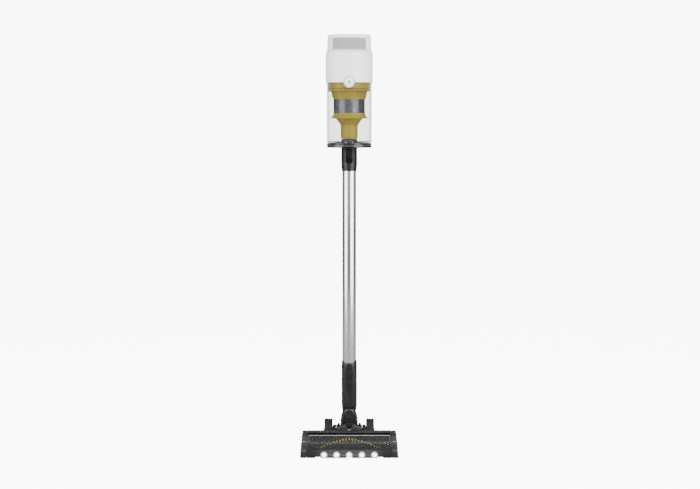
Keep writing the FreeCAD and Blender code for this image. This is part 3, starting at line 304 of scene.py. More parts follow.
@dataclass(frozen=True)
class Finish:
    """One material: a colour that drifts to a second one, a roughness range, and a kind of surface."""

    name: str
    colour: Colour
    second: Colour
    rough: Tuple[float, float] = (0.3, 0.42)
    grain: float = 900.0
    bump: float = 0.12
    metallic: float = 0.0
    surface: Surface = Surface.MOULDED
    see_through: Tuple[float, float] = (0.1, 0.7)
    coat: float = 0.0
    glow: float = 0.0
    shine: float = 0.5

    def material(self) -> bpy.types.Material:
        """Builds the material once.

        Returns:
            The material.
        """
        if self.name in bpy.data.materials:
            return bpy.data.materials[self.name]
        made = bpy.data.materials.new(self.name)
        made.use_nodes = True
        made.diffuse_color = (*self.colour, 1.0)
        sheet = Sheet(made.node_tree)
        shader = made.node_tree.nodes["Principled BSDF"]
        shader.inputs["Metallic"].default_value = self.metallic
        shader.inputs["Coat Weight"].default_value = self.coat
        shader.inputs["Specular IOR Level"].default_value = self.shine
        getattr(self, "_" + self.surface.value)(sheet, shader)
        return made

    def _group(
        self, sheet: Sheet, name: str, inputs: dict, outputs: Sequence[str], fill: Callable
    ) -> bpy.types.Node:
        """Places a shared group with this finish's own values.

        Args:
            sheet: sheet that takes the nodes.
            name: the group's name.
            inputs: input name to number.
            outputs: names of the outputs.
            fill: lays out the group the first time.

        Returns:
            The node.
        """
        made = sheet.node("ShaderNodeGroup", node_tree=shared_group(name, list(inputs), outputs, fill))
        for text, number in inputs.items():
            made.inputs[text].default_value = number
        return made

    def _grain(self, sheet: Sheet) -> bpy.types.Node:
        """Places the moulded grain."""
        return self._group(
            sheet, "moulded_grain", {"Scale": self.grain, "Bump": self.bump},
            ("Fleck", "Cloud", "Normal"), fill_grain
        )

    def _moulded(self, sheet: Sheet, shader: bpy.types.Node) -> None:
        """Lays out a moulded face: drifting colour and fine grain.

        Args:
            sheet: sheet that takes the nodes.
            shader: shader node to feed.
        """
        grain = self._grain(sheet)
        sheet.feed(
            shader.inputs["Base Color"],
            sheet.blend(sheet.ramp(grain.outputs["Cloud"], 0.3, 0.7), self.colour, self.second)
        )
        sheet.feed(shader.inputs["Roughness"], sheet.ramp(grain.outputs["Fleck"], 0.3, 0.7, *self.rough))
        sheet.feed(shader.inputs["Normal"], grain.outputs["Normal"])

    def _brushed(self, sheet: Sheet, shader: bpy.types.Node) -> None:
        """Lays out drawn metal with lines along Z.

        Args:
            sheet: sheet that takes the nodes.
            shader: shader node to feed.
        """
        lines = self._group(sheet, "drawn_lines", {"Bump": self.bump}, ("Fleck", "Normal"), fill_brushed)
        sheet.feed(shader.inputs["Base Color"], sheet.blend(lines.outputs["Fleck"], self.colour, self.second))
        sheet.feed(shader.inputs["Roughness"], sheet.ramp(lines.outputs["Fleck"], 0.2, 0.8, *self.rough))
        sheet.feed(shader.inputs["Normal"], lines.outputs["Normal"])

    def _woven(self, sheet: Sheet, shader: bpy.types.Node) -> None:
        """Lays out metal with rows of small holes.

        Args:
            sheet: sheet that takes the nodes.
            shader: shader node to feed.
        """
        weave = self._group(
            sheet, "hole_rows", {"Count": 140.0, "Rate": 3490.0}, ("Hole", "Normal"), fill_weave
        )
        sheet.feed(shader.inputs["Base Color"], sheet.blend(weave.outputs["Hole"], self.colour, self.second))
        sheet.feed(shader.inputs["Roughness"], sheet.ramp(weave.outputs["Hole"], 0.0, 1.0, *self.rough))
        sheet.feed(shader.inputs["Normal"], weave.outputs["Normal"])

    def _clear(self, sheet: Sheet, shader: bpy.types.Node) -> None:
        """Lays out a clear wall that grows denser towards its edges.

        Args:
            sheet: sheet that takes the nodes.
            shader: shader node to feed.
        """
        grain = self._grain(sheet)
        facing = sheet.node("ShaderNodeLayerWeight", {"Blend": 0.5}).outputs["Facing"]
        edge = sheet.sum("POWER", facing, 3.0)
        sheet.feed(shader.inputs["Alpha"], sheet.ramp(edge, 0.0, 1.0, *self.see_through))
        sheet.feed(
            shader.inputs["Base Color"],
            sheet.blend(sheet.ramp(grain.outputs["Cloud"], 0.3, 0.7), self.colour, self.second)
        )
        sheet.feed(shader.inputs["Roughness"], sheet.ramp(grain.outputs["Cloud"], 0.3, 0.7, *self.rough))

    def _pile(self, sheet: Sheet, shader: bpy.types.Node) -> None:
        """Lays out a fibrous pile.

        Args:
            sheet: sheet that takes the nodes.
            shader: shader node to feed.
        """
        fibres = sheet.node(
            "ShaderNodeTexNoise",
            {"Vector": sheet.place(), "Scale": self.grain, "Detail": 8.0, "Roughness": 0.75}
        )
        patches = sheet.node("ShaderNodeTexVoronoi", {"Vector": sheet.place(), "Scale": self.grain * 0.4})
        mixed = sheet.sum(
            "ADD", sheet.sum("MULTIPLY", patches.outputs["Distance"], 0.4),
            sheet.sum("MULTIPLY", fibres.outputs["Fac"], 0.7)
        )
        bump = sheet.node("ShaderNodeBump", {"Height": mixed, "Strength": self.bump, "Distance": 0.001})
        sheet.feed(
            shader.inputs["Base Color"],
            sheet.blend(sheet.ramp(mixed, 0.3, 0.75), self.colour, self.second)
        )
        sheet.feed(shader.inputs["Roughness"], sheet.ramp(fibres.outputs["Fac"], 0.3, 0.7, *self.rough))
        sheet.feed(shader.inputs["Normal"], bump.outputs["Normal"])

    def _foam(self, sheet: Sheet, shader: bpy.types.Node) -> None:
        """Lays out open foam with dark pores.

        Args:
            sheet: sheet that takes the nodes.
            shader: shader node to feed.
        """
        cells = sheet.node("ShaderNodeTexVoronoi", {"Vector": sheet.place(), "Scale": self.grain})
        pores = sheet.ramp(cells.outputs["Distance"], 0.1, 0.6)
        bump = sheet.node("ShaderNodeBump", {"Height": pores, "Strength": self.bump, "Distance": 0.0006})
        sheet.feed(shader.inputs["Base Color"], sheet.blend(pores, self.second, self.colour))
        sheet.feed(shader.inputs["Roughness"], sheet.ramp(pores, 0.0, 1.0, *self.rough))
        sheet.feed(shader.inputs["Normal"], bump.outputs["Normal"])

    def _board(self, sheet: Sheet, shader: bpy.types.Node) -> None:
        """Lays out a circuit board with its tracks.

        Args:
            sheet: sheet that takes the nodes.
            shader: shader node to feed.
        """
        tracks = sheet.node(
            "ShaderNodeTexBrick", {"Vector": sheet.place(), "Scale": self.grain, "Mortar Size": 0.04}
        )
        tracks.inputs["Color1"].default_value = (*self.colour, 1.0)
        tracks.inputs["Color2"].default_value = (*self.colour, 1.0)
        tracks.inputs["Mortar"].default_value = (*self.second, 1.0)
        sheet.feed(shader.inputs["Base Color"], tracks.outputs["Color"])
        sheet.feed(shader.inputs["Roughness"], sheet.ramp(tracks.outputs["Fac"], 0.0, 1.0, *self.rough))

    def _lamp(self, sheet: Sheet, shader: bpy.types.Node) -> None:
        """Lays out a moulded face with pools of painted lamp glow on it.

        Args:
            sheet: sheet that takes the nodes.
            shader: shader node to feed.
        """
        self._moulded(sheet, shader)
        inputs = {"Pitch": 0.032, "Height": 0.0106, "Outer": 0.0098, "Limit": 0.078}
        pools = self._group(sheet, "painted_lamp_glow", inputs, ("Core", "Wash"), fill_painted_lamp_glow)
        strength = sheet.sum(
            "ADD", sheet.sum("MULTIPLY", pools.outputs["Core"], self.glow),
            sheet.sum("MULTIPLY", pools.outputs["Wash"], 0.07)
        )
        shader.inputs["Emission Color"].default_value = (1.0, 0.99, 0.97, 1.0)
        sheet.feed(shader.inputs["Emission Strength"], strength)


WHITE = Finish("white_shell", (0.83, 0.835, 0.845), (0.8, 0.806, 0.818), (0.32, 0.42), 1400.0, 0.05)
WHITE_CAP = Finish("white_cap", (0.8, 0.82, 0.845), (0.76, 0.785, 0.81), (0.34, 0.46), 1400.0, 0.05)
WHITE_BUTTON = Finish(
    "white_button_face", (0.87, 0.875, 0.885), (0.83, 0.836, 0.848), (0.2, 0.3), 1400.0, 0.03
)
# Near-black grey for the release button's printed icon, and as painted shade in the gaps round that button
# and under the cap.
GREY_LINE = Finish("grey_line", (0.016, 0.0165, 0.0175), (0.012, 0.0125, 0.013), (0.4, 0.5), shine=0.2)
CUP_BACK_PALE = Finish(
    "cup_back_pale", (0.5, 0.504, 0.51), (0.46, 0.464, 0.47), (0.3, 0.42), 700.0, 0.04,
    surface=Surface.CLEAR, see_through=(0.45, 0.9), shine=0.3
)
BLACK = Finish(
    "black_satin", (0.0051, 0.0051, 0.0053), (0.00374, 0.00374, 0.00394), (0.32, 0.44), 1100.0, 0.1,
    shine=0.3
)
BLACK_GLOSS = Finish(
    "black_gloss", (0.0034, 0.0034, 0.00374), (0.00272, 0.00272, 0.00306), (0.1, 0.18), 1100.0, 0.02,
    shine=0.35
)
# Near-black for dark parts, and as painted shade in recesses, vent holes and the gap round the connector
# button.
BLACK_DEEP = Finish(
    "black_recess", (0.00204, 0.00204, 0.00224), (0.00136, 0.00136, 0.0015), (0.5, 0.65), 1100.0, 0.1,
    shine=0.15
)
SHELL = Finish(
    "head_shell_grey", (0.0122, 0.0122, 0.0125), (0.00986, 0.00986, 0.0101), (0.3, 0.42), 1200.0, 0.08,
    shine=0.35
)
# Painted glow: the head's grey with emission pools around each lamp and a faint wash along the bumper,
# standing in for lamp light spilling onto it.
BUMPER_PAINTED_GLOW = Finish(
    "head_bumper_painted_glow", (0.0122, 0.0122, 0.0125), (0.00986, 0.00986, 0.0101), (0.3, 0.42), 1200.0, 0.06,
    surface=Surface.LAMP, glow=4.5, shine=0.2
)
# Satin grey for real grey parts, and for thin strips and arcs painted grey as highlights on black parts.
GREY = Finish(
    "grey_satin_and_painted_highlight", (0.0204, 0.0204, 0.0207), (0.0163, 0.0163, 0.0167), (0.32, 0.44), 1100.0, 0.08,
    shine=0.4
)
# Mid grey for the bin's domes, and for the axle brackets' nuts as a painted highlight.
MID_GREY = Finish(
    "mid_grey", (0.0408, 0.0422, 0.0442), (0.0306, 0.032, 0.034), (0.14, 0.24), 1100.0, 0.04, coat=0.4
)
TYRE = Finish(
    "tyre_rubber_skin", (0.00714, 0.00714, 0.00734), (0.0051, 0.0051, 0.0053), (0.55, 0.7), 700.0, 0.2,
    shine=0.3
)
HUB = Finish(
    "wheel_hub_plastic", (0.0109, 0.0109, 0.0112), (0.00816, 0.00816, 0.0085), (0.36, 0.48), shine=0.35
)
STEEL = Finish(
    "bright_steel", (0.56, 0.57, 0.58), (0.44, 0.45, 0.46), (0.18, 0.3), 1600.0, 0.05, metallic=1.0
)
ALLOY = Finish(
    "drawn_aluminium", (0.62, 0.625, 0.635), (0.56, 0.565, 0.575), (0.17, 0.23), bump=0.002, metallic=1.0,
    surface=Surface.BRUSHED
)
MESH = Finish(
    "filter_mesh_metal", (0.07, 0.073, 0.076), (0.008, 0.008, 0.009), (0.24, 0.4), metallic=0.9,
    surface=Surface.WOVEN
)
YELLOW = Finish(
    "cyclone_yellow_shell", (0.17, 0.124, 0.0), (0.15, 0.11, 0.0), (0.36, 0.46), 1100.0, 0.05, shine=0.15
)
# Painted shade: a darker copy of the cyclone yellow for its flange groove.
YELLOW_GROOVE_SHADE = Finish("cyclone_yellow_groove_shade", (0.03, 0.02, 0.0), (0.024, 0.016, 0.0), (0.5, 0.6), shine=0.1)
TUFT = Finish("tuft_yellow", (0.75, 0.64, 0.0), (0.6, 0.51, 0.0), (0.4, 0.55), 2600.0, 0.3, shine=0.1)
FELT = Finish(
    "roller_felt", (0.0122, 0.0122, 0.0126), (0.034, 0.034, 0.0347), (0.75, 0.95), 700.0, 0.12,
    surface=Surface.PILE, shine=0.0
)
CLEAR_BIN = Finish(
    "clear_cup", (0.5, 0.505, 0.512), (0.46, 0.466, 0.474), (0.04, 0.08), surface=Surface.CLEAR,
    see_through=(0.015, 0.75), shine=0.1
)
SMOKED = Finish(
    "smoked_pane", (0.036, 0.036, 0.0366), (0.03, 0.03, 0.0305), (0.08, 0.12), surface=Surface.CLEAR,
    see_through=(0.3, 0.9), shine=0.15
)
LENS = Finish("lamp_lens", (0.8, 0.8, 0.78), (0.7, 0.7, 0.68), (0.2, 0.3), surface=Surface.LAMP, glow=7.0)
# Light grey for small trims and for beads painted as highlights; the dimmer copy below is a weaker painted
# highlight on the pane's lower rim.
TRIM_AND_HIGHLIGHT = Finish("light_trim_and_painted_highlight", (0.22, 0.22, 0.222), (0.18, 0.18, 0.182), (0.3, 0.4), shine=0.3)
DIM_PAINTED_HIGHLIGHT = Finish("pane_lower_painted_highlight", (0.07, 0.07, 0.071), (0.058, 0.058, 0.059), (0.45, 0.55), shine=0.2)
# Painted shade: grey for the white lands between vent holes.
VENT_LAND_SHADE = Finish("vent_land_painted_shade", (0.5, 0.503, 0.51), (0.45, 0.453, 0.46), (0.5, 0.6), 1400.0, 0.05, shine=0.2)
RUBBER = Finish(
    "soft_rubber", (0.00544, 0.00544, 0.00564), (0.00374, 0.00374, 0.00394), (0.6, 0.75), 800.0, 0.25,
    shine=0.25
)
FOAM = Finish(
    "open_foam", (0.05, 0.055, 0.062), (0.012, 0.014, 0.016), (0.8, 0.95), 900.0, 0.9,
    surface=Surface.FOAM
)
PAPER = Finish("pleated_paper", (0.74, 0.74, 0.7), (0.55, 0.555, 0.53), (0.7, 0.85), 500.0, 0.5)
BOARD = Finish(
    "green_board", (0.006, 0.09, 0.035), (0.3, 0.25, 0.06), (0.3, 0.5), 260.0, surface=Surface.BOARD
)
CELL = Finish("cell_wrap_film", (0.04, 0.13, 0.32), (0.025, 0.1, 0.26), (0.22, 0.32), 600.0, 0.04, coat=0.2)
PULLEY = Finish("pulley_nylon", (0.56, 0.54, 0.48), (0.48, 0.46, 0.41), (0.4, 0.55))


# ---------------------------------------------------------------- shapes
def soften(points: Sequence[Point], closed: bool = True, steps: int = 5) -> list:
    """Rounds the corners of an outline.

    Args:
        points: corners, each with its radius as an optional third number.
        closed: whether the last corner joins the first.
        steps: how many pieces each rounded corner takes.

    Returns:
        The points of the rounded outline.
    """
    out = []
    for index, point in enumerate(points):
        here = Vector(point[:2])
        radius = point[2] if len(point) > 2 else 0.0
        if radius <= 0 or (not closed and index in (0, len(points) - 1)):
            out.append(tuple(here))
            continue
        back = Vector(points[index - 1][:2]) - here
        ahead = Vector(points[(index + 1) % len(points)][:2]) - here
        half = back.angle(ahead) / 2
        cut = min(radius / math.tan(half), 0.49 * back.length, 0.49 * ahead.length)
        centre = here + (back.normalized() + ahead.normalized()).normalized() * (cut / math.cos(half))
        first = here + back.normalized() * cut - centre
        last = here + ahead.normalized() * cut - centre
        begin = math.atan2(first.y, first.x)
        turn = (math.atan2(last.y, last.x) - begin + math.pi) % (2 * math.pi) - math.pi
        for step in range(steps + 1):
            angle = begin + turn * step / steps
            out.append((centre.x + first.length * math.cos(angle), centre.y + first.length * math.sin(angle)))
    return out


def oblong(width: float, height: float, radius: float, centre: Point = (0.0, 0.0), steps: int = 6) -> list:
    """Returns the outline of a rectangle with rounded corners.

    Args:
        width: width over all.
        height: height over all.
        radius: corner radius.
        centre: middle of the shape.
        steps: points in each corner.

    Returns:
        The points of the outline.
    """
    x, y = centre
    corners = [
        (x - width / 2, y - height / 2), (x + width / 2, y - height / 2), (x + width / 2, y + height / 2),
        (x - width / 2, y + height / 2)
    ]
    return soften([(*corner, radius) for corner in corners], steps=steps)


def arc(centre: Point, radius: float, start: float, end: float, steps: int) -> list:
    """Returns points on an arc, with its angles in degrees."""
    angles = [math.radians(start + (end - start) * step / steps) for step in range(steps + 1)]
    return [(centre[0] + radius * math.cos(a), centre[1] + radius * math.sin(a)) for a in angles]


class Axis(Enum):
    """The axis a prism is drawn along, with the places of its outline's two numbers and its length."""

    X = (1, 2, 0)
    Y = (0, 2, 1)
    Z = (0, 1, 2)

    def spot(self, first: float, second: float, along: float) -> Vector:
        """Returns the point of an outline in space.

        Args:
            first: first coordinate across the axis.
            second: second coordinate across the axis.
            along: distance along the axis.

        Returns:
            The point.
        """
        out = Vector((0, 0, 0))
        for place, value in zip(self.value, (first, second, along)):
            out[place] = value
        return out


def round_edges(bm: bmesh.types.BMesh, edges: Iterable, size: float, segments: int = 3) -> None:
    """Rounds edges with a bevel.

    Args:
        bm: mesh to change.
        edges: edges to round.
        size: width of the rounding.
        segments: strips across each rounded edge.
    """
    edges = list(edges)
    if edges and size > 0:
        bmesh.ops.bevel(
            bm, geom=edges, offset=size, offset_type="OFFSET", affect="EDGES", segments=segments,
            profile=0.5, material=-1, clamp_overlap=True
        )


def split(bm: bmesh.types.BMesh, spot: Point, way: Point) -> None:
    """Cuts the faces of a mesh along a plane and takes nothing away.

    Args:
        bm: mesh to change.
        spot: a point of the plane.
        way: the plane's normal.
    """
    bmesh.ops.bisect_plane(bm, geom=bm.verts[:] + bm.edges[:] + bm.faces[:], plane_co=spot, plane_no=way)


def corners(geom: Iterable) -> list:
    """Returns the vertices among the pieces of a mesh."""
    return [v for v in geom if isinstance(v, bmesh.types.BMVert)]


def prism(
    outline: Sequence[Point], low: float, high: float, axis: Axis = Axis.X, bevel: float = 0.0,
    segments: int = 3
) -> bmesh.types.BMesh:
    """Draws an outline out into a solid and rounds the edges of its two ends.

    Args:
        outline: points across the axis.
        low, high: where the ends are along the axis.
        axis: the axis to draw along.
        bevel: size of the rounding at the ends.
        segments: how many pieces the rounding takes.

    Returns:
        The mesh.
    """
    bm = bmesh.new()
    face = bm.faces.new([bm.verts.new(axis.spot(*point[:2], low)) for point in outline])
    grown = bmesh.ops.extrude_face_region(bm, geom=[face])["geom"]
    bmesh.ops.translate(bm, verts=corners(grown), vec=axis.spot(0, 0, high - low))
    bmesh.ops.recalc_face_normals(bm, faces=bm.faces)
    if bevel:
        ends = [f for f in bm.faces if len(f.verts) == len(outline) and abs(f.normal[axis.value[2]]) > 0.9]
        round_edges(bm, {edge for end in ends for edge in end.edges}, bevel, segments)
    return bm


def turned(profile: Sequence[Point], closed: bool = True, steps: int = ROUND) -> bmesh.types.BMesh:
    """Turns a profile of (radius, height) points about the Z axis.

    Args:
        profile: the points.
        closed: whether the last point joins the first.
        steps: how many pieces the full turn takes.

    Returns:
        The mesh.
    """
    bm = bmesh.new()
    verts = [bm.verts.new((point[0], 0, point[1])) for point in profile]
    edges = [bm.edges.new(pair) for pair in zip(verts, verts[1:])]
    if closed:
        edges.append(bm.edges.new((verts[-1], verts[0])))
    bmesh.ops.spin(
        bm, geom=verts + edges, cent=(0, 0, 0), axis=(0, 0, 1), angle=2 * math.pi, steps=steps,
        use_merge=True
    )
    bmesh.ops.remove_doubles(bm, verts=bm.verts, dist=1e-4)
    bmesh.ops.recalc_face_normals(bm, faces=bm.faces)
    return bm


def rod(radius: float, start: Vector, end: Vector, bevel: float = 0.5, steps: int = 48) -> bmesh.types.BMesh:
    """Makes a round bar between two points, with rounded ends.

    Args:
        radius: half of its thickness.
        start: middle of one end.
        end: middle of the other end.
        bevel: rounding of the edges.
        steps: number of steps around.

    Returns:
        The mesh.
    """
    start, end = Vector(start), Vector(end)
    length = (end - start).length
    bevel = min(bevel, radius * 0.9, length * 0.45)
    profile = soften(
        [(0, 0), (radius, 0, bevel), (radius, length, bevel), (0, length)], closed=False, steps=3
    )
    bm = turned(profile, closed=False, steps=steps)
    turn = (end - start).to_track_quat("Z", "Y").to_matrix().to_4x4()
    bmesh.ops.transform(bm, matrix=Matrix.Translation(start) @ turn, verts=bm.verts)
    return bm


def brick(low: Point, high: Point, bevel: float = 0.6, segments: int = 3) -> bmesh.types.BMesh:
    """Makes a block between two corners, with all its edges rounded.

    Args:
        low: lower corner.
        high: upper corner.
        bevel: rounding of the edges.
        segments: strips across each rounded edge.

    Returns:
        The mesh.
    """
    bm = bmesh.new()
    bmesh.ops.create_cube(bm, size=1)
    low, high = Vector(low), Vector(high)
    bmesh.ops.scale(bm, vec=high - low, verts=bm.verts)
    bmesh.ops.translate(bm, vec=(low + high) / 2, verts=bm.verts)
    round_edges(bm, bm.edges, bevel, segments)
    return bm


def bead(points: Sequence[Point], radius: float, closed: bool = False) -> bmesh.types.BMesh:
    """Runs a round bead along a line of points.

    Args:
        points: middle line, point by point.
        radius: radius of the bead.
        closed: whether the line runs back to its start.

    Returns:
        The mesh.
    """
    curve = bpy.data.curves.new("bead", "CURVE")
    curve.dimensions = "3D"
    curve.bevel_depth = radius
    curve.bevel_resolution = 2
    curve.use_fill_caps = True
    spline = curve.splines.new("POLY")
    spline.points.add(len(points) - 1)
    for spot, point in zip(spline.points, points):
        spot.co = (*point, 1.0)
    spline.use_cyclic_u = closed
    carrier = bpy.data.objects.new("bead", curve)
    mesh = bpy.data.meshes.new_from_object(carrier)
    bm = bmesh.new()
    bm.from_mesh(mesh)
    bpy.data.objects.remove(carrier)
    bpy.data.curves.remove(curve)
    bpy.data.meshes.remove(mesh)
    return bm


def merge(*parts: bmesh.types.BMesh) -> bmesh.types.BMesh:
    """Puts several meshes into one and frees them.

    Args:
        parts: meshes to join, which are freed.

    Returns:
        The mesh.
    """
    whole = bmesh.new()
    for part in parts:
        carrier = bpy.data.meshes.new("carrier")
        part.to_mesh(carrier)
        part.free()
        whole.from_mesh(carrier)
        bpy.data.meshes.remove(carrier)
    return whole


def moved(bm: bmesh.types.BMesh, *steps: Matrix) -> bmesh.types.BMesh:
    """Applies matrices to a mesh in turn and returns it.

    Args:
        bm: mesh to change.
        steps: turns and shifts, in their order.

    Returns:
        The mesh.
    """
    for step in steps:
        bmesh.ops.transform(bm, matrix=step, verts=bm.verts)
    return bm


def turn_z(degrees: float) -> Matrix:
    """Returns a turn about the Z axis."""
    return Matrix.Rotation(math.radians(degrees), 4, "Z")


def painted(bm: bmesh.types.BMesh, index: int) -> bmesh.types.BMesh:
    """Gives all faces of a mesh one finish of the piece's list and returns it.

    Args:
        bm: mesh to change.
        index: number of the finish on its faces.

    Returns:
        The mesh.
    """
    for face in bm.faces:
        face.material_index = index
    return bm


def mirrored(build: Callable[[], bmesh.types.BMesh]) -> bmesh.types.BMesh:
    """Returns a mesh together with its mirror image across X = 0.

    Args:
        build: makes the right-hand half.

    Returns:
        The mesh.
    """
    other = build()
    bmesh.ops.scale(other, vec=(-1, 1, 1), verts=other.verts)
    bmesh.ops.reverse_faces(other, faces=other.faces)
    return merge(build(), other)


@dataclass
class Assembly:
    """A sub-assembly: it makes its pieces and gives the frame's other nodes their finish."""

    made: list = field(default_factory=list)

    def piece(
        self, name: str, bm: bmesh.types.BMesh, finishes: Union[Finish, Sequence[Finish]], body: str,
        slot: Optional[str] = None, replaces: Sequence[str] = (), angle: float = 40.0
    ) -> bpy.types.Object:
        """Turns a mesh in millimetres into a finished piece.

        Args:
            name: the piece's name.
            bm: its mesh, which is freed.
            finishes: one finish, or a list that the faces' indices point into.
            body: the frame's body that it moves with.
            slot: not used.
            replaces: frame nodes that it stands for.
            angle: edges sharper than this, in degrees, stay sharp.

        Returns:
            The piece.
        """
        bmesh.ops.remove_doubles(bm, verts=bm.verts, dist=1e-4)
        bmesh.ops.recalc_face_normals(bm, faces=bm.faces)
        bmesh.ops.scale(bm, vec=(MM,) * 3, verts=bm.verts)
        mesh = bpy.data.meshes.new(name)
        bm.to_mesh(mesh)
        bm.free()
        mesh.shade_smooth()
        mesh.set_sharp_from_angle(angle=math.radians(angle))
        for finish in finishes if isinstance(finishes, (list, tuple)) else [finishes]:
            mesh.materials.append(finish.material())
        made = bpy.data.objects.new(name, mesh)
        bpy.context.scene.collection.objects.link(made)
        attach(made, body)
        if replaces:
            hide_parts(*replaces)
        self.made.append(name)
        return made

    def dress(self, frame: dict, finish: Finish, *nodes: str) -> None:
        """Gives frame nodes a finish.

        Args:
            frame: the loaded frame, node name to object.
            finish: finish to give.
            nodes: names of the frame's nodes.
        """
        for node in nodes:
            mesh = frame["nodes"][node].data
            mesh.materials.clear()
            mesh.materials.append(finish.material())

    def report(self) -> None:
        """Logs what was made."""
        LOG.info("%s: %s", type(self).__name__, ", ".join(self.made))


# ---------------------------------------------------------------- floor head
@dataclass
class FloorHead(Assembly):
    """Floor head: end caps, pane, bumper with lamps, roller, frame, axles and wheels."""

    half: float = 125.0
    cap_inner: float = 108.0
    centre: Tuple[float, float] = (-72.0, 25.0)
    cover_r: float = 33.5
    lip_y: float = -110.0
    core_r: float = 16.5
    tip_r: float = 24.0
    tuft_pitch: float = 7.9
    pane_start: float = 183.4
    wheel_x: float = 55.0
    wheel_y: float = 50.0
    wheel_r: float = 33.0
    wheel_half: float = 10.75

    def outline(self) -> list:
        """Side outline of the end caps as (Y, Z) points.

        Returns:
            The points of the outline.
        """
        front = [(-14, 2, 2.5), (self.lip_y, 2, 2), (self.lip_y, 19, 5)]
        back = [(-38, 57, 7), (-14, 38, 5)]
        return soften(front + arc(self.centre, self.cover_r, 181, 92, 20) + back)

    def end_cap(self) -> bmesh.types.BMesh:
        """Right end cap: flared to its foot, with a sunk side face and a raised strip in front painted light
        grey as a highlight.

        Returns:
            The mesh.
        """
        bm = prism(self.outline(), self.cap_inner, self.half, Axis.X, 3.0, 4)
        side = max(bm.faces, key=lambda f: f.calc_center_median().x * (f.normal.x > 0.9) * len(f.verts))
        bmesh.ops.inset_region(bm, faces=[side], thickness=6, depth=0)
        bmesh.ops.inset_region(bm, faces=[side], thickness=1.2, depth=-1.0)
        for vert in bm.verts:
            share = (vert.co.x - self.cap_inner) / (self.half - self.cap_inner)
            vert.co.x -= 4.4 * share * max(vert.co.z / 58.5, 0) ** 1.5
        # Painted highlight: the strip's light grey stands in for the highlight along the rounded front.
        y, z = arc(self.centre, self.cover_r, 147.5, 147.5, 1)[0]
        return merge(bm, painted(bead([(111.0, y, z), (120.0, y, z)], 0.7), 1))

    def wrapped(self, bm: bmesh.types.BMesh, radius: float, start: float) -> bmesh.types.BMesh:
        """Bends a flat sheet around the roller's axis: X stays, Y runs up the arc and Z is the depth.

        Args:
            bm: flat sheet.
            radius: radius of the bend.
            start: angle at Y 0, in degrees.

        Returns:
            The mesh.
        """
        top = max(v.co.y for v in bm.verts)
        for step in range(1, int(top / 1.5)):
            split(bm, (0, step * 1.5, 0), (0, 1, 0))
        for vert in bm.verts:
            angle = math.radians(start) - vert.co.y / radius
            reach = radius + vert.co.z
            vert.co = (
                vert.co.x, self.centre[0] + reach * math.cos(angle),
                self.centre[1] + reach * math.sin(angle)
            )
        return bm

    def on_pane(self, x: float, along: float, depth: float = 0.0) -> Point:
        """Returns the point of the pane's face at X and at a distance up its arc.

        Args:
            x: X.
            along: distance up the arc.
            depth: distance outwards from the face.

        Returns:
            The point.
        """
        angle = math.radians(self.pane_start) - along / self.cover_r
        reach = self.cover_r + depth
        return (x, self.centre[0] + reach * math.cos(angle), self.centre[1] + reach * math.sin(angle))

    def window(self) -> bmesh.types.BMesh:
        """Smoked pane over the roller, with beads on the rims of its raised middle painted as highlights,
        bright on top and dimmer below.

        Returns:
            The mesh.
        """
        half = self.cap_inner - 0.6
        sheet = [(-half, 0.2), (half, 0.2), (half, 44.5, 7), (-half, 44.5, 7)]
        pane = self.wrapped(prism(soften(sheet), -1.6, 0, Axis.Z, 0.5, 2), self.cover_r, self.pane_start)
        # Painted highlights: a bright bead along the top rim and a dimmer one around the lower rim.
        top_line = [self.on_pane(x, 39.5, 0.0) for x in (-103.5, -60, 60, 103.5)]
        frame = soften([(-103, 35.0), (-103, 17.0, 7), (103, 17.0, 7), (103, 35.0)], closed=False, steps=6)
        low_line = [self.on_pane(x, s, 0.0) for x, s in frame]
        return merge(pane, painted(bead(top_line, 1.0), 1), painted(bead(low_line, 0.85), 2))

    def recess(self) -> bmesh.types.BMesh:
        """Dark shelf under the top of the pane, and the wall of the chamber behind the roller, painted
        near-black as the shade in the recess.

        Returns:
            The mesh.
        """
        half = self.cap_inner - 2
        shelf = self.wrapped(
            prism(
                soften([(-half, 38.5), (half, 38.5), (half, 43, 3), (-half, 43, 3)]), -3.6, -2.2, Axis.Z
            ),
            self.cover_r, self.pane_start
        )
        liner = self.wrapped(
            prism([(-half, 0), (half, 0), (half, 54), (-half, 54)], -0.8, 0, Axis.Z), 25.8, 100
        )
        return merge(shelf, liner)

    def bumper(self) -> bmesh.types.BMesh:
        """Front bumper with three notches along its foot and a thin line between the lamps.

        Returns:
            The mesh.
        """
        low, high, foot = 2.2, 4.9, []
        for middle in (-79, 0, 79):
            foot += [
                (middle - 8.2, low), (middle - 6.4, high, 0.8), (middle + 6.4, high, 0.8),
                (middle + 8.2, low)
            ]
        half = self.cap_inner - 0.2
        body = prism(
            soften([(-half, low)] + foot + [(half, low), (half, 22.8), (-half, 22.8)]), self.lip_y,
            self.lip_y + 6.6, Axis.Y, 1.2, 3
        )
        line = brick((-64, self.lip_y - 0.15, 10.35), (64, self.lip_y + 0.5, 10.85), 0.1, 1)
        return merge(body, painted(line, 1))

    def lamps(self) -> bmesh.types.BMesh:
        """Five domed lenses."""
        return merge(
            *[
                rod(3.5, (x, self.lip_y + 2, 10.6), (x, self.lip_y - 0.5, 10.6), 1.0, 32)
                for x in range(-64, 65, 32)
            ]
        )

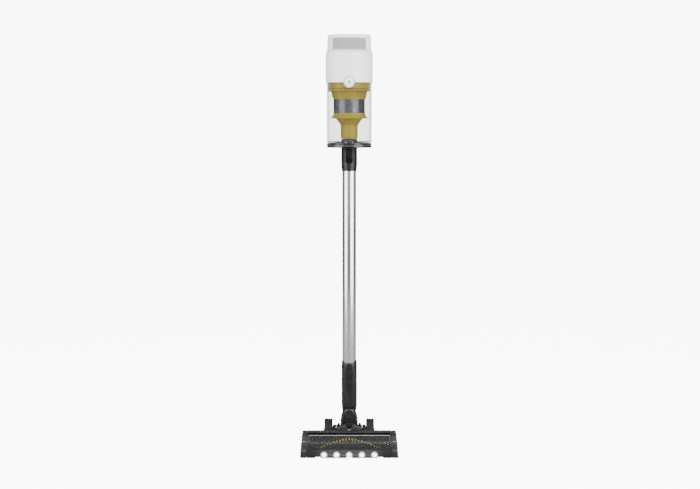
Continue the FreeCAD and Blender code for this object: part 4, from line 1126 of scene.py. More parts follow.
    def roller(self) -> bmesh.types.BMesh:
        """Felt roller with a combed, uneven pile, between its two end discs.

        Returns:
            The mesh.
        """
        half = 104.0
        profile = [(self.core_r, -half + 1.3 * step) for step in range(int(2 * half / 1.3) + 1)]
        pile = turned(
            [(self.core_r - 3, -half)] + profile + [(self.core_r - 3, half)], closed=False, steps=110
        )
        for vert in pile.verts:
            flat = Vector((vert.co.x, vert.co.y, 0))
            if flat.length > self.core_r - 1:
                rough = noise.noise(vert.co * 0.55) * 0.3 + noise.noise(vert.co * 1.7) * 0.25
                vert.co += flat.normalized() * rough
        ends = [
            painted(rod(self.core_r - 1.5, (0, 0, side * (half - 1)), (0, 0, side * 114.6), 1.0, 64), 1)
            for side in (-1, 1)
        ]
        return self.onto_roller(merge(pile, *ends))

    def onto_roller(self, bm: bmesh.types.BMesh) -> bmesh.types.BMesh:
        """Lays a mesh made on the Z axis onto the roller's axis."""
        return moved(bm, LIE_X, Matrix.Translation((0, *self.centre)))

    def tufts(self) -> bmesh.types.BMesh:
        """Two rows of tufts in a wide V, each a bundle of splayed bristles.

        Returns:
            The mesh.
        """
        bundles = []
        for half_turn in (0, 180):
            for number in range(-11, 12):
                x = number * self.tuft_pitch
                angle = math.radians(114 + 0.62 * abs(x) + 0.0035 * x * x + half_turn)
                out = Vector((0, math.cos(angle), math.sin(angle)))
                side = out.cross(Vector((1, 0, 0)))
                root = Vector((x, *self.centre)) + out * (self.core_r - 2)
                for strand in range(8):
                    turn = strand * math.pi / 3.5 if strand else 0
                    spread = 0.0 if strand == 0 else 1.0
                    lean = Vector((1, 0, 0)) * math.cos(turn) * spread + side * math.sin(turn) * spread
                    tip = root + out * (self.tip_r - self.core_r + 1.8) + lean * 1.5
                    bundles.append(rod(0.68, root + lean * 0.85, tip, 0.25, 6))
        return merge(*bundles)

    def tyre(self) -> bmesh.types.BMesh:
        """Rubber tyre with rounded shoulders and fine tread grooves, laid on the wheel's axle.

        Returns:
            The mesh.
        """
        width, radius = self.wheel_half, self.wheel_r
        profile = [(24.0, -width + 1), (radius - 1.6, -width, 0.6), (radius, -width + 1.6, 1.4)]
        for groove in (-4.5, 0, 4.5):
            profile += [
                (radius, groove - 0.7, 0.2), (radius - 0.8, groove - 0.35), (radius - 0.8, groove + 0.35),
                (radius, groove + 0.7, 0.2)
            ]
        profile += [(radius, width - 1.6, 1.4), (radius - 1.6, width, 0.6), (24.0, width - 1)]
        return moved(turned(soften(profile)), LIE_X)

    def hub(self) -> bmesh.types.BMesh:
        """Wheel disc: rim, web with six ribs and a domed cap over the axle.

        Returns:
            The mesh.
        """
        profile = [
            (4.3, -8), (9, -8, 1), (10, -4, 1), (20, -4, 1), (21, -8, 0.8), (23.8, -8.6, 0.4),
            (23.8, 8.6, 0.4), (21, 8, 0.8), (20, 4, 1), (10, 4, 1), (9, 8, 1), (4.3, 8)
        ]
        parts = [turned(soften(profile))]
        for number in range(6):
            parts.append(moved(brick((8.5, -1.1, -6.6), (21, 1.1, 6.6), 0.5, 2), turn_z(60 * number)))
        parts.append(
            painted(
                turned(
                    soften(
                        [(0, 8.2), (6.8, 8.2, 0.4), (6.8, 9.2, 0.5), (4, 9.9, 2), (0, 10.0)], closed=False
                    ),
                    closed=False
                ),
                1
            )
        )
        return moved(merge(*parts), LIE_X)

    def small_roller(self) -> bmesh.types.BMesh:
        """Small front roller on its pin.

        Returns:
            The mesh.
        """
        profile = [
            (1.6, -3.9), (4.0, -3.9, 0.5), (4.5, -3.0, 0.4), (4.5, -0.5), (4.2, -0.3), (4.2, 0.3),
            (4.5, 0.5), (4.5, 3.0, 0.4), (4.0, 3.9, 0.5), (1.6, 3.9)
        ]
        pin = rod(1.45, (0, 0, -6.2), (0, 0, 6.2), 0.3, 24)
        return moved(
            merge(turned(soften(profile), steps=48), painted(pin, 1)),
            LIE_X
        )

    def bracket(self) -> bmesh.types.BMesh:
        """Right-hand collar about the tilting axis, its arm cover and its nut, whose lighter grey is a
        painted highlight.

        Returns:
            The mesh.
        """
        profile = [(5, 26.8), (15, 26.8, 3), (20, 31.5, 6), (20, 43.8, 1.4), (5, 43.8)]
        collar = moved(
            turned(soften(profile), steps=96), LIE_X,
            Matrix.Translation((0, 0, 32))
        )
        block = prism(
            soften([(34.2, 34), (43.6, 34), (43.6, 51.5, 2.5), (39, 53.5, 2), (34.2, 53.5, 1)]), 8, 30,
            Axis.Y, 2.0, 4
        )
        # Painted highlight: the nut is real, and its lighter grey stands in for the light spot on it.
        nut = brick((35.0, 6.6, 48.8), (41.5, 9.5, 51.0), 0.7, 3)
        return merge(collar, block, painted(nut, 1))

    def build(self, frame: dict) -> None:
        """Makes the pieces of the head.

        Args:
            frame: the loaded frame, node name to object.
        """
        for side, name in ((1, "right"), (-1, "left")):
            cap = self.end_cap()
            bmesh.ops.scale(cap, vec=(side, 1, 1), verts=cap.verts)
            self.piece(
                f"cap_shell_{name}", cap, [SHELL, TRIM_AND_HIGHLIGHT], "head", "head_shell", (f"end_cap_{name}",)
            )
            for label, bm, finishes, slot, node in (
                ("tread", self.tyre(), TYRE, "tyre_rubber", "rear_tyre"),
                ("disc", self.hub(), [HUB, GREY], "wheel_hub", "rear_wheel"),
            ):
                moved(
                    bm, Matrix.Diagonal((side, 1, 1, 1)),
                    Matrix.Translation((side * self.wheel_x, self.wheel_y, self.wheel_r))
                )
                self.piece(f"{label}_{name}", bm, finishes, f"wheel_{name}", slot, (f"{node}_{name}",))
            roller = moved(self.small_roller(), Matrix.Translation((side * 118, -98, 4.5)))
            self.piece(
                f"caster_{name}", roller, [TYRE, STEEL], f"roller_{name}", "tyre_rubber",
                (f"front_roller_{name}",)
            )
            bracket = moved(self.bracket(), Matrix.Diagonal((side, 1, 1, 1)))
            self.piece(f"axle_bracket_{name}", bracket, [BLACK, MID_GREY], "head", "black_plastic")
        self.piece(
            "smoked_pane", self.window(), [SMOKED, TRIM_AND_HIGHLIGHT, DIM_PAINTED_HIGHLIGHT], "head", "smoked_window",
            ("brush_window",)
        )
        # Near-black here is painted shade in the recess under the pane and in the chamber behind the roller.
        self.piece("pane_shelf", self.recess(), BLACK_DEEP, "head", "black_plastic")
        # The bumper's glow around the lamps is painted light.
        self.piece(
            "lit_bumper", self.bumper(), [BUMPER_PAINTED_GLOW, TRIM_AND_HIGHLIGHT], "head", "head_shell", ("front_bumper",)
        )
        self.piece("lamp_domes", self.lamps(), LENS, "head", "led_lens", ("led_lenses",))
        self.piece("felt_roller", self.roller(), [FELT, BLACK], "brush", "roller_core", ("brush_core",), 80)
        self.piece("bristle_bundles", self.tufts(), TUFT, "brush", "bristle", ("brush_tufts",))
        self.dress(frame, SHELL, "head_base", "head_top_cover")
        self.dress(frame, BLACK, "rear_frame", "brush_bearings")
        self.dress(frame, STEEL, "head_screws", "wheel_axles", "brush_motor", "tilt_pins")
        self.dress(frame, PULLEY, "brush_pulley", "motor_pulley")
        self.dress(frame, RUBBER, "drive_belt")
        self.dress(frame, BOARD, "led_board")


# ---------------------------------------------------------------- neck
@dataclass
class Neck(Assembly):
    """Tilting barrel with its black yoke and the two headed swivel pins."""

    tilt_z: float = 32.0
    barrel_r: float = 29.5
    barrel_half: float = 26.0
    swivel_z: float = 95.0
    cheek_inner: float = 15.3
    cheek_outer: float = 20.8
    slot_half: float = 14.0

    def barrel(self) -> bmesh.types.BMesh:
        """Grey barrel, closed at its ends, with a groove near each end and the air slot in front.

        Returns:
            The mesh.
        """
        half, radius = self.barrel_half, self.barrel_r
        profile = [
            (6.2, -half), (radius - 1, -half, 1.4), (radius, -half + 2.2, 1.2), (radius, -half + 5),
            (radius - 0.6, -half + 5.4), (radius - 0.6, -half + 6), (radius, -half + 6.4)
        ]
        profile += [(point[0], -point[1]) for point in reversed(profile[3:])] + [
            (radius, half - 2.2, 1.2), (radius - 1, half, 1.4), (6.2, half), (6.2, half - 3),
            (radius - 3, half - 3), (radius - 3, -half + 3), (6.2, -half + 3)
        ]
        bm = moved(
            turned(soften(profile)), LIE_X,
            Matrix.Translation((0, 0, self.tilt_z))
        )
        for x in (-self.slot_half, self.slot_half):
            split(bm, (x, 0, 0), (1, 0, 0))
        gone = [
            f for f in bm.faces
            if abs(f.calc_center_median().x) < self.slot_half and f.calc_center_median().y < -12
            and self.tilt_z - 30 < f.calc_center_median().z < self.tilt_z + 8
        ]
        bmesh.ops.delete(bm, geom=gone, context="FACES")
        middle = (0, self.tilt_z)
        sector = arc(middle, radius, 50, 130, 20) + arc(middle, 21.5, 130, 50, 16)
        wings = mirrored(lambda: prism(sector, half - 0.5, half + 7.6, Axis.X, 2.0, 4))
        shoulder = prism(
            soften(
                [(-29, 50, 2), (-26, 61.5, 4), (-12, 68.5, 8), (12, 68.5, 8), (26, 61.5, 4), (29, 50, 2)]
            ),
            -22.2, -9, Axis.Y, 3.0, 4
        )
        return merge(bm, wings, shoulder)

    def tongue(self) -> bmesh.types.BMesh:
        """Black three-sided latch on the front of the barrel, with its small bar painted light grey as a
        highlight.

        Returns:
            The mesh.
        """
        shape = soften(
            [(-11.5, 72, 1), (11.5, 72, 1), (8.5, 66, 2), (3.6, 57.5, 2), (-3.6, 57.5, 2), (-8.5, 66, 2)]
        )
        plate = prism(shape, -23.4, -14, Axis.Y, 1.2, 3)
        # Painted highlight: a light grey bar.
        bar = painted(brick((-4.2, -25.6, 53.2), (4.2, -22.5, 54.8), 0.5, 2), 1)
        ear = soften([(24, 56), (32.6, 56), (32.6, 60, 1.5), (28.4, 67.5, 2.2), (24.4, 66, 1.5)])
        ears = mirrored(lambda: prism(ear, -6, 6, Axis.Y, 1.2, 3))
        return merge(plate, bar, ears)

    def yoke(self) -> bmesh.types.BMesh:
        """Black yoke: saddle foot, curved horns with grey strips along their front edges painted as
        highlights, and a round cheek in front of and behind the swivel.

        Returns:
            The mesh.
        """
        low_line = [
            (-23.0, 63.6, 1), (-17, 66.0, 5), (-9, 68.6, 5), (9, 68.6, 5), (17, 66.0, 5), (23.0, 63.6, 1)
        ]
        right = [(22.9, 70, 4), (21.8, 80, 6), (18.8, 91, 3)]
        left = [(-x, z, r) for x, z, r in reversed(right)]
        plate = soften(low_line + right + arc((0, self.swivel_z), 13.4, 20, 160, 16) + left)
        outer = self.cheek_outer
        parts = []
        for side in (-1, 1):
            parts.append(prism(plate, *sorted((side * self.cheek_inner, side * outer)), Axis.Y, 1.1, 3))
            # Painted highlight: a thin raised strip along each horn's front edge, painted grey.
            edge_glint_points = ((19.0, 67), (22.4, 66.5), (21.6, 79), (18.2, 92), (16.2, 92), (18.4, 78))
            rib = soften([(side * x, z) for x, z in edge_glint_points])
            parts.append(painted(prism(rib, -outer - 0.8, -outer + 0.6, Axis.Y, 0.5, 2), 1))
        wall = [
            prism(
                soften([(s * 16.5, 59), (s * 22.0, 59), (s * 21.0, 80), (s * 17.4, 84), (s * 17.4, 76)]),
                -8, 8, Axis.Y, 0.8, 2
            )
            for s in (-1, 1)
        ]
        return merge(*parts, *wall)

    def pins(self) -> bmesh.types.BMesh:
        """Headed pins with a stepped face, and two light arcs on the front head painted as glints.

        Returns:
            The mesh.
        """
        outer = self.cheek_outer
        head = soften(
            [
                (0, -3), (5, -3), (5, 0), (12.2, 0, 0.3), (12.2, 1.2, 0.6), (10.6, 2.1, 0.6),
                (9.4, 2.1, 0.3), (8.8, 1.5, 0.3), (0, 1.5)
            ],
            closed=False
        )
        front = moved(
            turned(head, closed=False, steps=72), LIE_Y,
            Matrix.Translation((0, -outer, self.swivel_z))
        )
        back = moved(
            turned(head, closed=False, steps=72), Matrix.Rotation(-math.pi / 2, 4, "X"),
            Matrix.Translation((0, outer, self.swivel_z))
        )
        # Painted highlights: two light arcs on the front head.
        middle = (0, self.swivel_z)
        glints = [
            bead([(x, -outer - 0.6, z) for x, z in arc(middle, 13.1, start, start + 36, 6)], 0.42)
            for start in (36, 108)
        ]
        return merge(front, back, *[painted(glint, 1) for glint in glints])

    def build(self, frame: dict) -> None:
        """Makes the pieces of the neck.

        Args:
            frame: not used.
        """
        self.piece("barrel_skin", self.barrel(), GREY, "neck", "barrel_grey", ("tilt_barrel",))
        self.piece("barrel_latch", self.tongue(), [BLACK, TRIM_AND_HIGHLIGHT], "neck", "black_plastic")
        self.piece("swivel_yoke", self.yoke(), [BLACK, GREY], "neck", "black_plastic", ("neck_fork",))
        self.piece(
            "swivel_bosses", self.pins(), [BLACK, TRIM_AND_HIGHLIGHT], "neck", "black_plastic", ("swivel_pins",)
        )


# ---------------------------------------------------------------- sleeve and wand
@dataclass
class LowerSleeve(Assembly):
    """Black sleeve on the swivel, with its front panel and release button."""

    radius: float = 20.1
    full_z: float = 113.0
    top_z: float = 234.0
    bore: float = 18.1
    flat_y: float = -19.0
    swivel_z: float = 95.0
    drum_r: float = 17.0

    def body(self) -> bmesh.types.BMesh:
        """Facetted sleeve with a dished collar, and the swivel drum under it.

        Returns:
            The mesh.
        """
        ring = []
        for number in range(96):
            angle = 2 * math.pi * number / 96
            x, y = math.sin(angle), -math.cos(angle)
            ring.append((x, y))
        levels = [
            (self.full_z - 7, 17.2), (self.full_z - 3, 18.9), (self.full_z + 1, 19.9),
            (self.full_z + 4, self.radius), (216, self.radius), (222, 19.9), (228, 19.4), (233, 18.9),
            (self.top_z, 18.5)
        ]
        bm = bmesh.new()
        rows = []
        for z, r in levels:
            row = []
            for x, y in ring:
                share = min(1.0, max(0.0, 0.97 - abs(x)) / 0.45)
                dish = share * max(0.0, (z - 223) / 11) * 5.2 if y < 0 else 0.0
                px, py = x * r, y * r
                if abs(x) < 0.72 and y < 0 and self.full_z < z < 219:
                    py = max(py, self.flat_y)
                row.append(bm.verts.new((px, py, z - dish)))
            rows.append(row)
        edges = [bm.edges.new((row[i], row[(i + 1) % len(row)])) for row in rows for i in range(len(row))]
        count = len(ring)
        for level in range(len(rows) - 1):
            bmesh.ops.bridge_loops(bm, edges=edges[level * count:(level + 2) * count])
        inner = bmesh.ops.extrude_edge_only(bm, edges=edges[-count:])["geom"]
        for vert in corners(inner):
            flat = Vector((vert.co.x, vert.co.y, 0)).normalized() * self.bore
            vert.co = (flat.x, flat.y, vert.co.z)
        down = bmesh.ops.extrude_edge_only(
            bm, edges=[e for e in inner if isinstance(e, bmesh.types.BMEdge)]
        )["geom"]
        for vert in corners(down):
            vert.co.z = 166
        drum = rod(self.drum_r, (0, 15, self.swivel_z), (0, -15, self.swivel_z), 0.8, 72)
        throat = prism(
            soften(
                [
                    (-16.8, 95), (16.8, 95), (17.6, 103, 2), (19.6, 112, 2), (18.9, 116), (-18.9, 116),
                    (-19.6, 112, 2), (-17.6, 103, 2)
                ]
            ),
            -13, 13, Axis.Y, 3.0, 4
        )
        return merge(bm, drum, throat)

    def edges(self) -> bmesh.types.BMesh:
        """Two slim corner strips painted grey as highlights, and the facet under the collar's dish.

        Returns:
            The mesh.
        """
        # Painted highlights: grey strips at the corners of the flat front.
        strips = [
            brick((side * 13.4 - 0.8, -16.3, 117), (side * 13.4 + 0.8, -15.1, 215), 0.5, 2)
            for side in (-1, 1)
        ]
        facet = prism(
            soften([(-9.6, 213, 0.5), (9.6, 213, 0.5), (7.2, 225, 1.5), (-7.2, 225, 1.5)]), -20.3, -17.5,
            Axis.Y, 0.7, 3
        )
        return merge(*strips, painted(facet, 1))

    def panel(self) -> bmesh.types.BMesh:
        """Front panel in three lengths with a groove around each, a window for the button, and grey arcs
        under it painted as highlights.

        Returns:
            The mesh.
        """
        high = prism(oblong(20, 27.2, 0.8, (0, 198.2)), self.flat_y - 2.0, self.flat_y, Axis.Y, 0.5, 2)
        mid = prism(oblong(20, 17.4, 0.8, (0, 175.3)), self.flat_y - 1.9, self.flat_y, Axis.Y, 0.5, 2)
        arch = [(-10, 166), (-10, 150)] + arc((0, 153.6), 9.9, 180, 0, 14)[1:-1] + [(10, 150), (10, 166)]
        cheek = prism(arch, self.flat_y - 1.6, self.flat_y, Axis.Y, 0.3, 1)
        tail = [(-10, 114), (10, 114), (10, 134)] + arc((0, 134.4), 9.9, 0, -180, 14)[1:-1] + [(-10, 134)]
        foot = prism(tail, self.flat_y - 1.6, self.flat_y, Axis.Y, 0.3, 1)
        # Painted highlights: grey arcs along the lower curve round the button.
        rims = [
            bead([(x, self.flat_y - 1.7, z) for x, z in arc((0, 134.4), 9.8, start, start + 42, 7)], 0.38)
            for start in (-80, -142)
        ]
        return merge(high, mid, cheek, foot, *[painted(rim, 1) for rim in rims])

    def button(self) -> bmesh.types.BMesh:
        """Oblong button with a softly dished face.

        Returns:
            The mesh.
        """
        bm = prism(
            oblong(18.4, 37.8, 9.15, (0, 144), 12), self.flat_y - 2.4, self.flat_y + 0.4, Axis.Y, 0.7, 3
        )
        face = max((f for f in bm.faces if f.normal.y < -0.9), key=lambda f: f.calc_area())
        bmesh.ops.inset_region(bm, faces=[face], thickness=2.4, depth=0)
        bmesh.ops.translate(bm, verts=face.verts, vec=(0, 0.6, 0))
        return bm

    def build(self, frame: dict) -> None:
        """Makes the pieces of the sleeve.

        Args:
            frame: not used.
        """
        self.piece("sleeve_skin", self.body(), BLACK, "sleeve", "black_plastic", ("lower_sleeve",), 32)
        self.piece("sleeve_edges", self.edges(), [GREY, BLACK], "sleeve", "black_plastic")
        self.piece(
            "sleeve_panel", self.panel(), [BLACK, GREY], "sleeve", "black_plastic",
            ("sleeve_front_panel",)
        )
        self.piece("release_pad", self.button(), BLACK, "sleeve_button", "black_plastic", ("sleeve_button",))


@dataclass
class Wand(Assembly):
    """Aluminium wand with the black connector at its top and the button that frees the bin unit."""

    tube_r: float = 17.8
    tube_low: float = 165.3
    tube_high: float = 743.7
    low_z: float = 725.0
    full_z: float = 743.0
    top_z: float = 784.7

    def tube(self) -> bmesh.types.BMesh:
        """Drawn tube with rounded mouths."""
        r = self.tube_r
        return turned(
            soften(
                [
                    (r - 1.5, self.tube_low, 0.4), (r, self.tube_low, 0.5), (r, self.tube_high, 0.5),
                    (r - 1.5, self.tube_high, 0.4)
                ]
            )
        )

    def connector(self) -> bmesh.types.BMesh:
        """Connector: tapered foot, full collar, grey lines beside the button painted as highlights, a
        near-black bead round the button painted as the shade of its gap, and the ridge behind.

        Returns:
            The mesh.
        """
        profile = [
            (18.0, self.low_z + 0.4), (18.9, self.low_z, 0.7), (19.2, self.low_z + 3),
            (20.4, self.full_z - 2, 3), (20.5, self.full_z + 2), (20.5, self.top_z - 0.3, 0.6),
            (15.0, self.top_z - 0.3), (15.0, 744), (18.0, 744)
        ]
        shell = turned(soften(profile))
        ridge = prism(oblong(20, 47, 3, (0, 761)), 10, 27, Axis.Y, 2.0, 3)
        # Painted highlights: grey strips beside the button.
        strips = [
            brick((side * 12.6 - 0.9, -17.4, 746), (side * 12.6 + 0.9, -15.3, 783), 0.5, 2)
            for side in (-1, 1)
        ]
        # Painted shade: a near-black bead round the button's gap.
        outer = oblong(20.6, 44, 9.9, (0, 764.5), 10)
        frame = [(x, -20.3, min(z, 783.2)) for x, z in outer]
        return merge(shell, ridge, *[painted(s, 1) for s in strips], painted(bead(frame, 0.35, True), 2))

    def button(self) -> bmesh.types.BMesh:
        """Round-footed button with three grip ribs.

        Returns:
            The mesh.
        """
        shape = [(9.3, 781.0), (-9.3, 781.0)] + arc((0, 753.4), 9.3, 180, 360, 16)
        bm = prism(shape, -21.1, -19.1, Axis.Y, 0.6, 3)
        ribs = [brick((-5, -21.5, z - 0.5), (5, -20.8, z + 0.5), 0.3, 2) for z in (768, 771.5, 775)]
        return merge(bm, *[painted(rib, 0) for rib in ribs])

    def build(self, frame: dict) -> None:
        """Makes the pieces of the wand.

        Args:
            frame: the loaded frame, node name to object.
        """
        self.piece("drawn_tube", self.tube(), ALLOY, "wand", "wand_aluminium", ("wand_tube",))
        self.piece(
            "top_connector", self.connector(), [BLACK, GREY, BLACK_DEEP], "wand", "black_plastic",
            ("upper_connector",)
        )
        self.piece(
            "unit_button", self.button(), BLACK_GLOSS, "upper_button", "black_plastic", ("upper_button",)
        )
        self.dress(frame, BLACK, "cable_duct")


# ---------------------------------------------------------------- dust bin and cyclone
@dataclass
class DustBin(Assembly):
    """Clear cup on its black base, with the inlet cup, its contacts and two domes."""

    radius: float = 57.3
    wall: float = 2.2
    foot_z: float = 785.0
    ring_z: float = 794.0
    top_z: float = 948.7

    def cup(self) -> bmesh.types.BMesh:
        """Cup with rounded lips: clear in front, paler and less see-through behind.

        Returns:
            The mesh.
        """
        inner = self.radius - self.wall
        bm = turned(
            soften(
                [
                    (inner, self.ring_z + 0.1, 0.4), (self.radius, self.ring_z + 0.1, 0.5),
                    (self.radius, self.top_z, 0.7), (inner, self.top_z, 0.6)
                ]
            ),
            steps=192
        )
        for face in bm.faces:
            face.material_index = int(face.calc_center_median().y > 3)
        return bm

    def base(self) -> bmesh.types.BMesh:
        """Base plate and ring, with a groove around it holding a light line painted as a highlight, and a
        dark sealing lip inside.

        Returns:
            The mesh.
        """
        r, z = self.radius, self.foot_z
        body = [
            (21.3, z + 1, 0.4), (52, z + 0.2, 2), (r - 1.4, z, 0.8), (r, z + 1.6, 0.6), (r, z + 4.4),
            (r - 0.5, z + 4.7), (r - 0.5, z + 5.5), (r, z + 5.8), (r, z + 8.6, 0.5), (r - 2.4, z + 9),
            (r - 2.4, z + 11.8, 0.5), (r - 4.6, z + 11.8, 0.5), (r - 5, z + 5), (21.3, z + 4.4)
        ]
        # Painted highlight: a light line in the groove.
        line = [(r - 0.7, z + 4.75), (r - 0.25, z + 4.75), (r - 0.25, z + 5.45), (r - 0.7, z + 5.45)]
        lip = [(r - 4.2, z + 14.2, 0.3), (r - 2.3, z + 14.2), (r - 2.3, z + 15.5), (r - 4.2, z + 15.2, 0.3)]
        ribs = [
            moved(brick((24, -0.8, z + 3), (51, 0.8, z + 5.6), 0.4, 2), turn_z(22.5 + 45 * number))
            for number in range(8)
        ]
        return merge(
            turned(soften(body), steps=192), painted(turned(line, steps=192), 1),
            painted(turned(soften(lip), steps=192), 2), *ribs
        )

    def inlet(self) -> bmesh.types.BMesh:
        """Nozzle and inlet cup with a ribbed collar and two bright contact studs.

        Returns:
            The mesh.
        """
        profile = [
            (12.5, 746, 0.6), (14.5, 746, 0.8), (14.5, 785), (18, 785.2), (20.9, 786, 1),
            (20.9, 790.6, 0.4), (20.2, 791, 0.3), (20.2, 792, 0.3), (20.9, 792.4, 0.4), (20.9, 803, 1),
            (19.4, 806.8, 1.2), (17.6, 807, 0.6), (17.6, 790.2), (12.5, 790.2, 0.5)
        ]
        parts = [turned(soften(profile))]
        for x in (-8, 8):
            y = -math.sqrt(20.9 ** 2 - x * x)
            parts.append(painted(rod(1.9, (x, y + 2, 797.2), (x * 1.03, y - 0.45, 797.2), 0.6, 24), 1))
            parts.append(painted(rod(2.7, (x, y + 2, 797.2), (x * 1.01, y - 0.1, 797.2), 0.3, 24), 2))
        return merge(*parts)

    def domes(self) -> bmesh.types.BMesh:
        """Two glossy domes on the base plate."""
        profile = soften(
            [
                (0, 800.6), (3, 800.4, 3), (7.6, 797.8, 4), (9.9, 792.6, 2), (10.2, 790.6),
                (11.4, 790.2, 0.4), (11.4, 789.3)
            ],
            closed=False
        )
        return merge(
            *[
                moved(turned(profile, closed=False, steps=72), Matrix.Translation((x, -14, 0)))
                for x in (-28, 28)
            ]
        )

    def build(self, frame: dict) -> None:
        """Makes the pieces of the bin.

        Args:
            frame: the loaded frame, node name to object.
        """
        self.piece("clear_cup", self.cup(), [CLEAR_BIN, CUP_BACK_PALE], "bin", "clear_bin", ("bin_cup",))
        self.piece(
            "base_ring", self.base(), [BLACK_GLOSS, TRIM_AND_HIGHLIGHT, BLACK_DEEP], "bin", "black_plastic",
            ("bin_base",)
        )
        self.piece(
            "inlet_cup", self.inlet(), [BLACK, STEEL, BLACK_DEEP], "bin", "black_plastic", ("inlet_pipe",)
        )
        self.piece("base_domes", self.domes(), MID_GREY, "bin", "grey_plastic", ("bin_base_domes",))
        self.dress(frame, RUBBER, "inlet_flap")


@dataclass
class Cyclone(Assembly):
    """Yellow cyclone: drum and ribbed cone, metal mesh, and the flared skirt with its neck."""

    steps: int = 160

    def drum(self) -> bmesh.types.BMesh:
        """Drum, ring flange with a groove over it painted dark yellow as shade, and the ribbed cone.

        Returns:
            The mesh.
        """
        profile = [
            (54, 948.5, 0.4), (54, 934.2), (53.3, 933.9), (53.3, 932.9), (54.8, 932.6, 0.4),
            (54.8, 929, 0.6), (52.6, 926.9, 0.5), (45.3, 926.9, 0.6), (42.2, 909.2, 0.4), (40.2, 909.2),
            (42.9, 928), (51.6, 936), (51.6, 948.5)
        ]
        # Painted shade: the groove ring takes a darker copy of the yellow.
        groove = [(53.0, 932.9), (53.5, 932.9), (53.5, 933.9), (53.0, 933.9)]
        parts = [turned(soften(profile), steps=self.steps), painted(turned(groove, steps=self.steps), 1)]
        for number in range(20):
            gusset = prism(
                [(41.5, 911), (43.1, 912), (46.8, 926.9), (43.5, 926.9)], -0.55, 0.55, Axis.Y, 0.3, 2
            )
            parts.append(moved(gusset, turn_z(-90 + 9 + 18 * number)))
        return merge(*parts)

    def mesh(self) -> bmesh.types.BMesh:
        """Perforated metal sleeve, without its hems."""
        profile = [(39.2, 871.2), (39.95, 871.2), (39.95, 908.8), (39.2, 908.8)]
        return turned(profile, steps=self.steps)

    def hems(self) -> bmesh.types.BMesh:
        """Plain bands that hold the mesh at its top and foot."""
        bands = [
            turned(
                soften([(39.4, z), (40.35, z, 0.2), (40.35, z + 1.5, 0.2), (39.4, z + 1.5)]),
                steps=self.steps
            )
            for z in (871.0, 907.4)
        ]
        return merge(*bands)

    def skirt(self) -> bmesh.types.BMesh:
        """Flared skirt with two steps, the lower cone, and the neck with raised rings.

        Returns:
            The mesh.
        """
        outer = [
            (22, 807.6, 0.5), (22, 811.4), (22.25, 811.6), (22.25, 812.6), (22, 812.8), (22, 842, 6),
            (34, 858.6, 1), (45.0, 858.6, 0.4), (46.25, 859.4, 0.3), (46.25, 861.2, 0.5),
            (43.4, 864.4, 0.3), (42.9, 865.2, 0.3), (40.6, 868.2, 0.3), (40.3, 871.0, 0.2)
        ]
        inner = [(38.2, 871.0), (38.2, 868), (43.8, 861.2), (33.0, 861.2), (20, 844, 4), (20, 807.6)]
        mark = rod(1.4, (0, -31.6, 856.4), (0, -34.2, 856.4), 0.2, 24)
        return merge(turned(soften(outer + inner), steps=self.steps), painted(mark, 1))

    def build(self, frame: dict) -> None:
        """Makes the pieces of the cyclone.

        Args:
            frame: the loaded frame, node name to object.
        """
        self.piece(
            "cyclone_body", self.drum(), [YELLOW, YELLOW_GROOVE_SHADE], "cyclone", "cyclone_yellow",
            ("cyclone_drum",), 34
        )
        self.piece("cyclone_sieve", self.mesh(), MESH, "cyclone", "filter_mesh", ("cyclone_mesh",))
        self.piece("cyclone_hems", self.hems(), YELLOW, "cyclone", "cyclone_yellow")
        self.piece(
            "cyclone_cone", self.skirt(), [YELLOW, BLACK_DEEP], "cyclone", "cyclone_yellow",
            ("cyclone_skirt",), 34
        )
        self.dress(frame, RUBBER, "cyclone_seal")
        self.dress(frame, FOAM, "prefilter_foam")


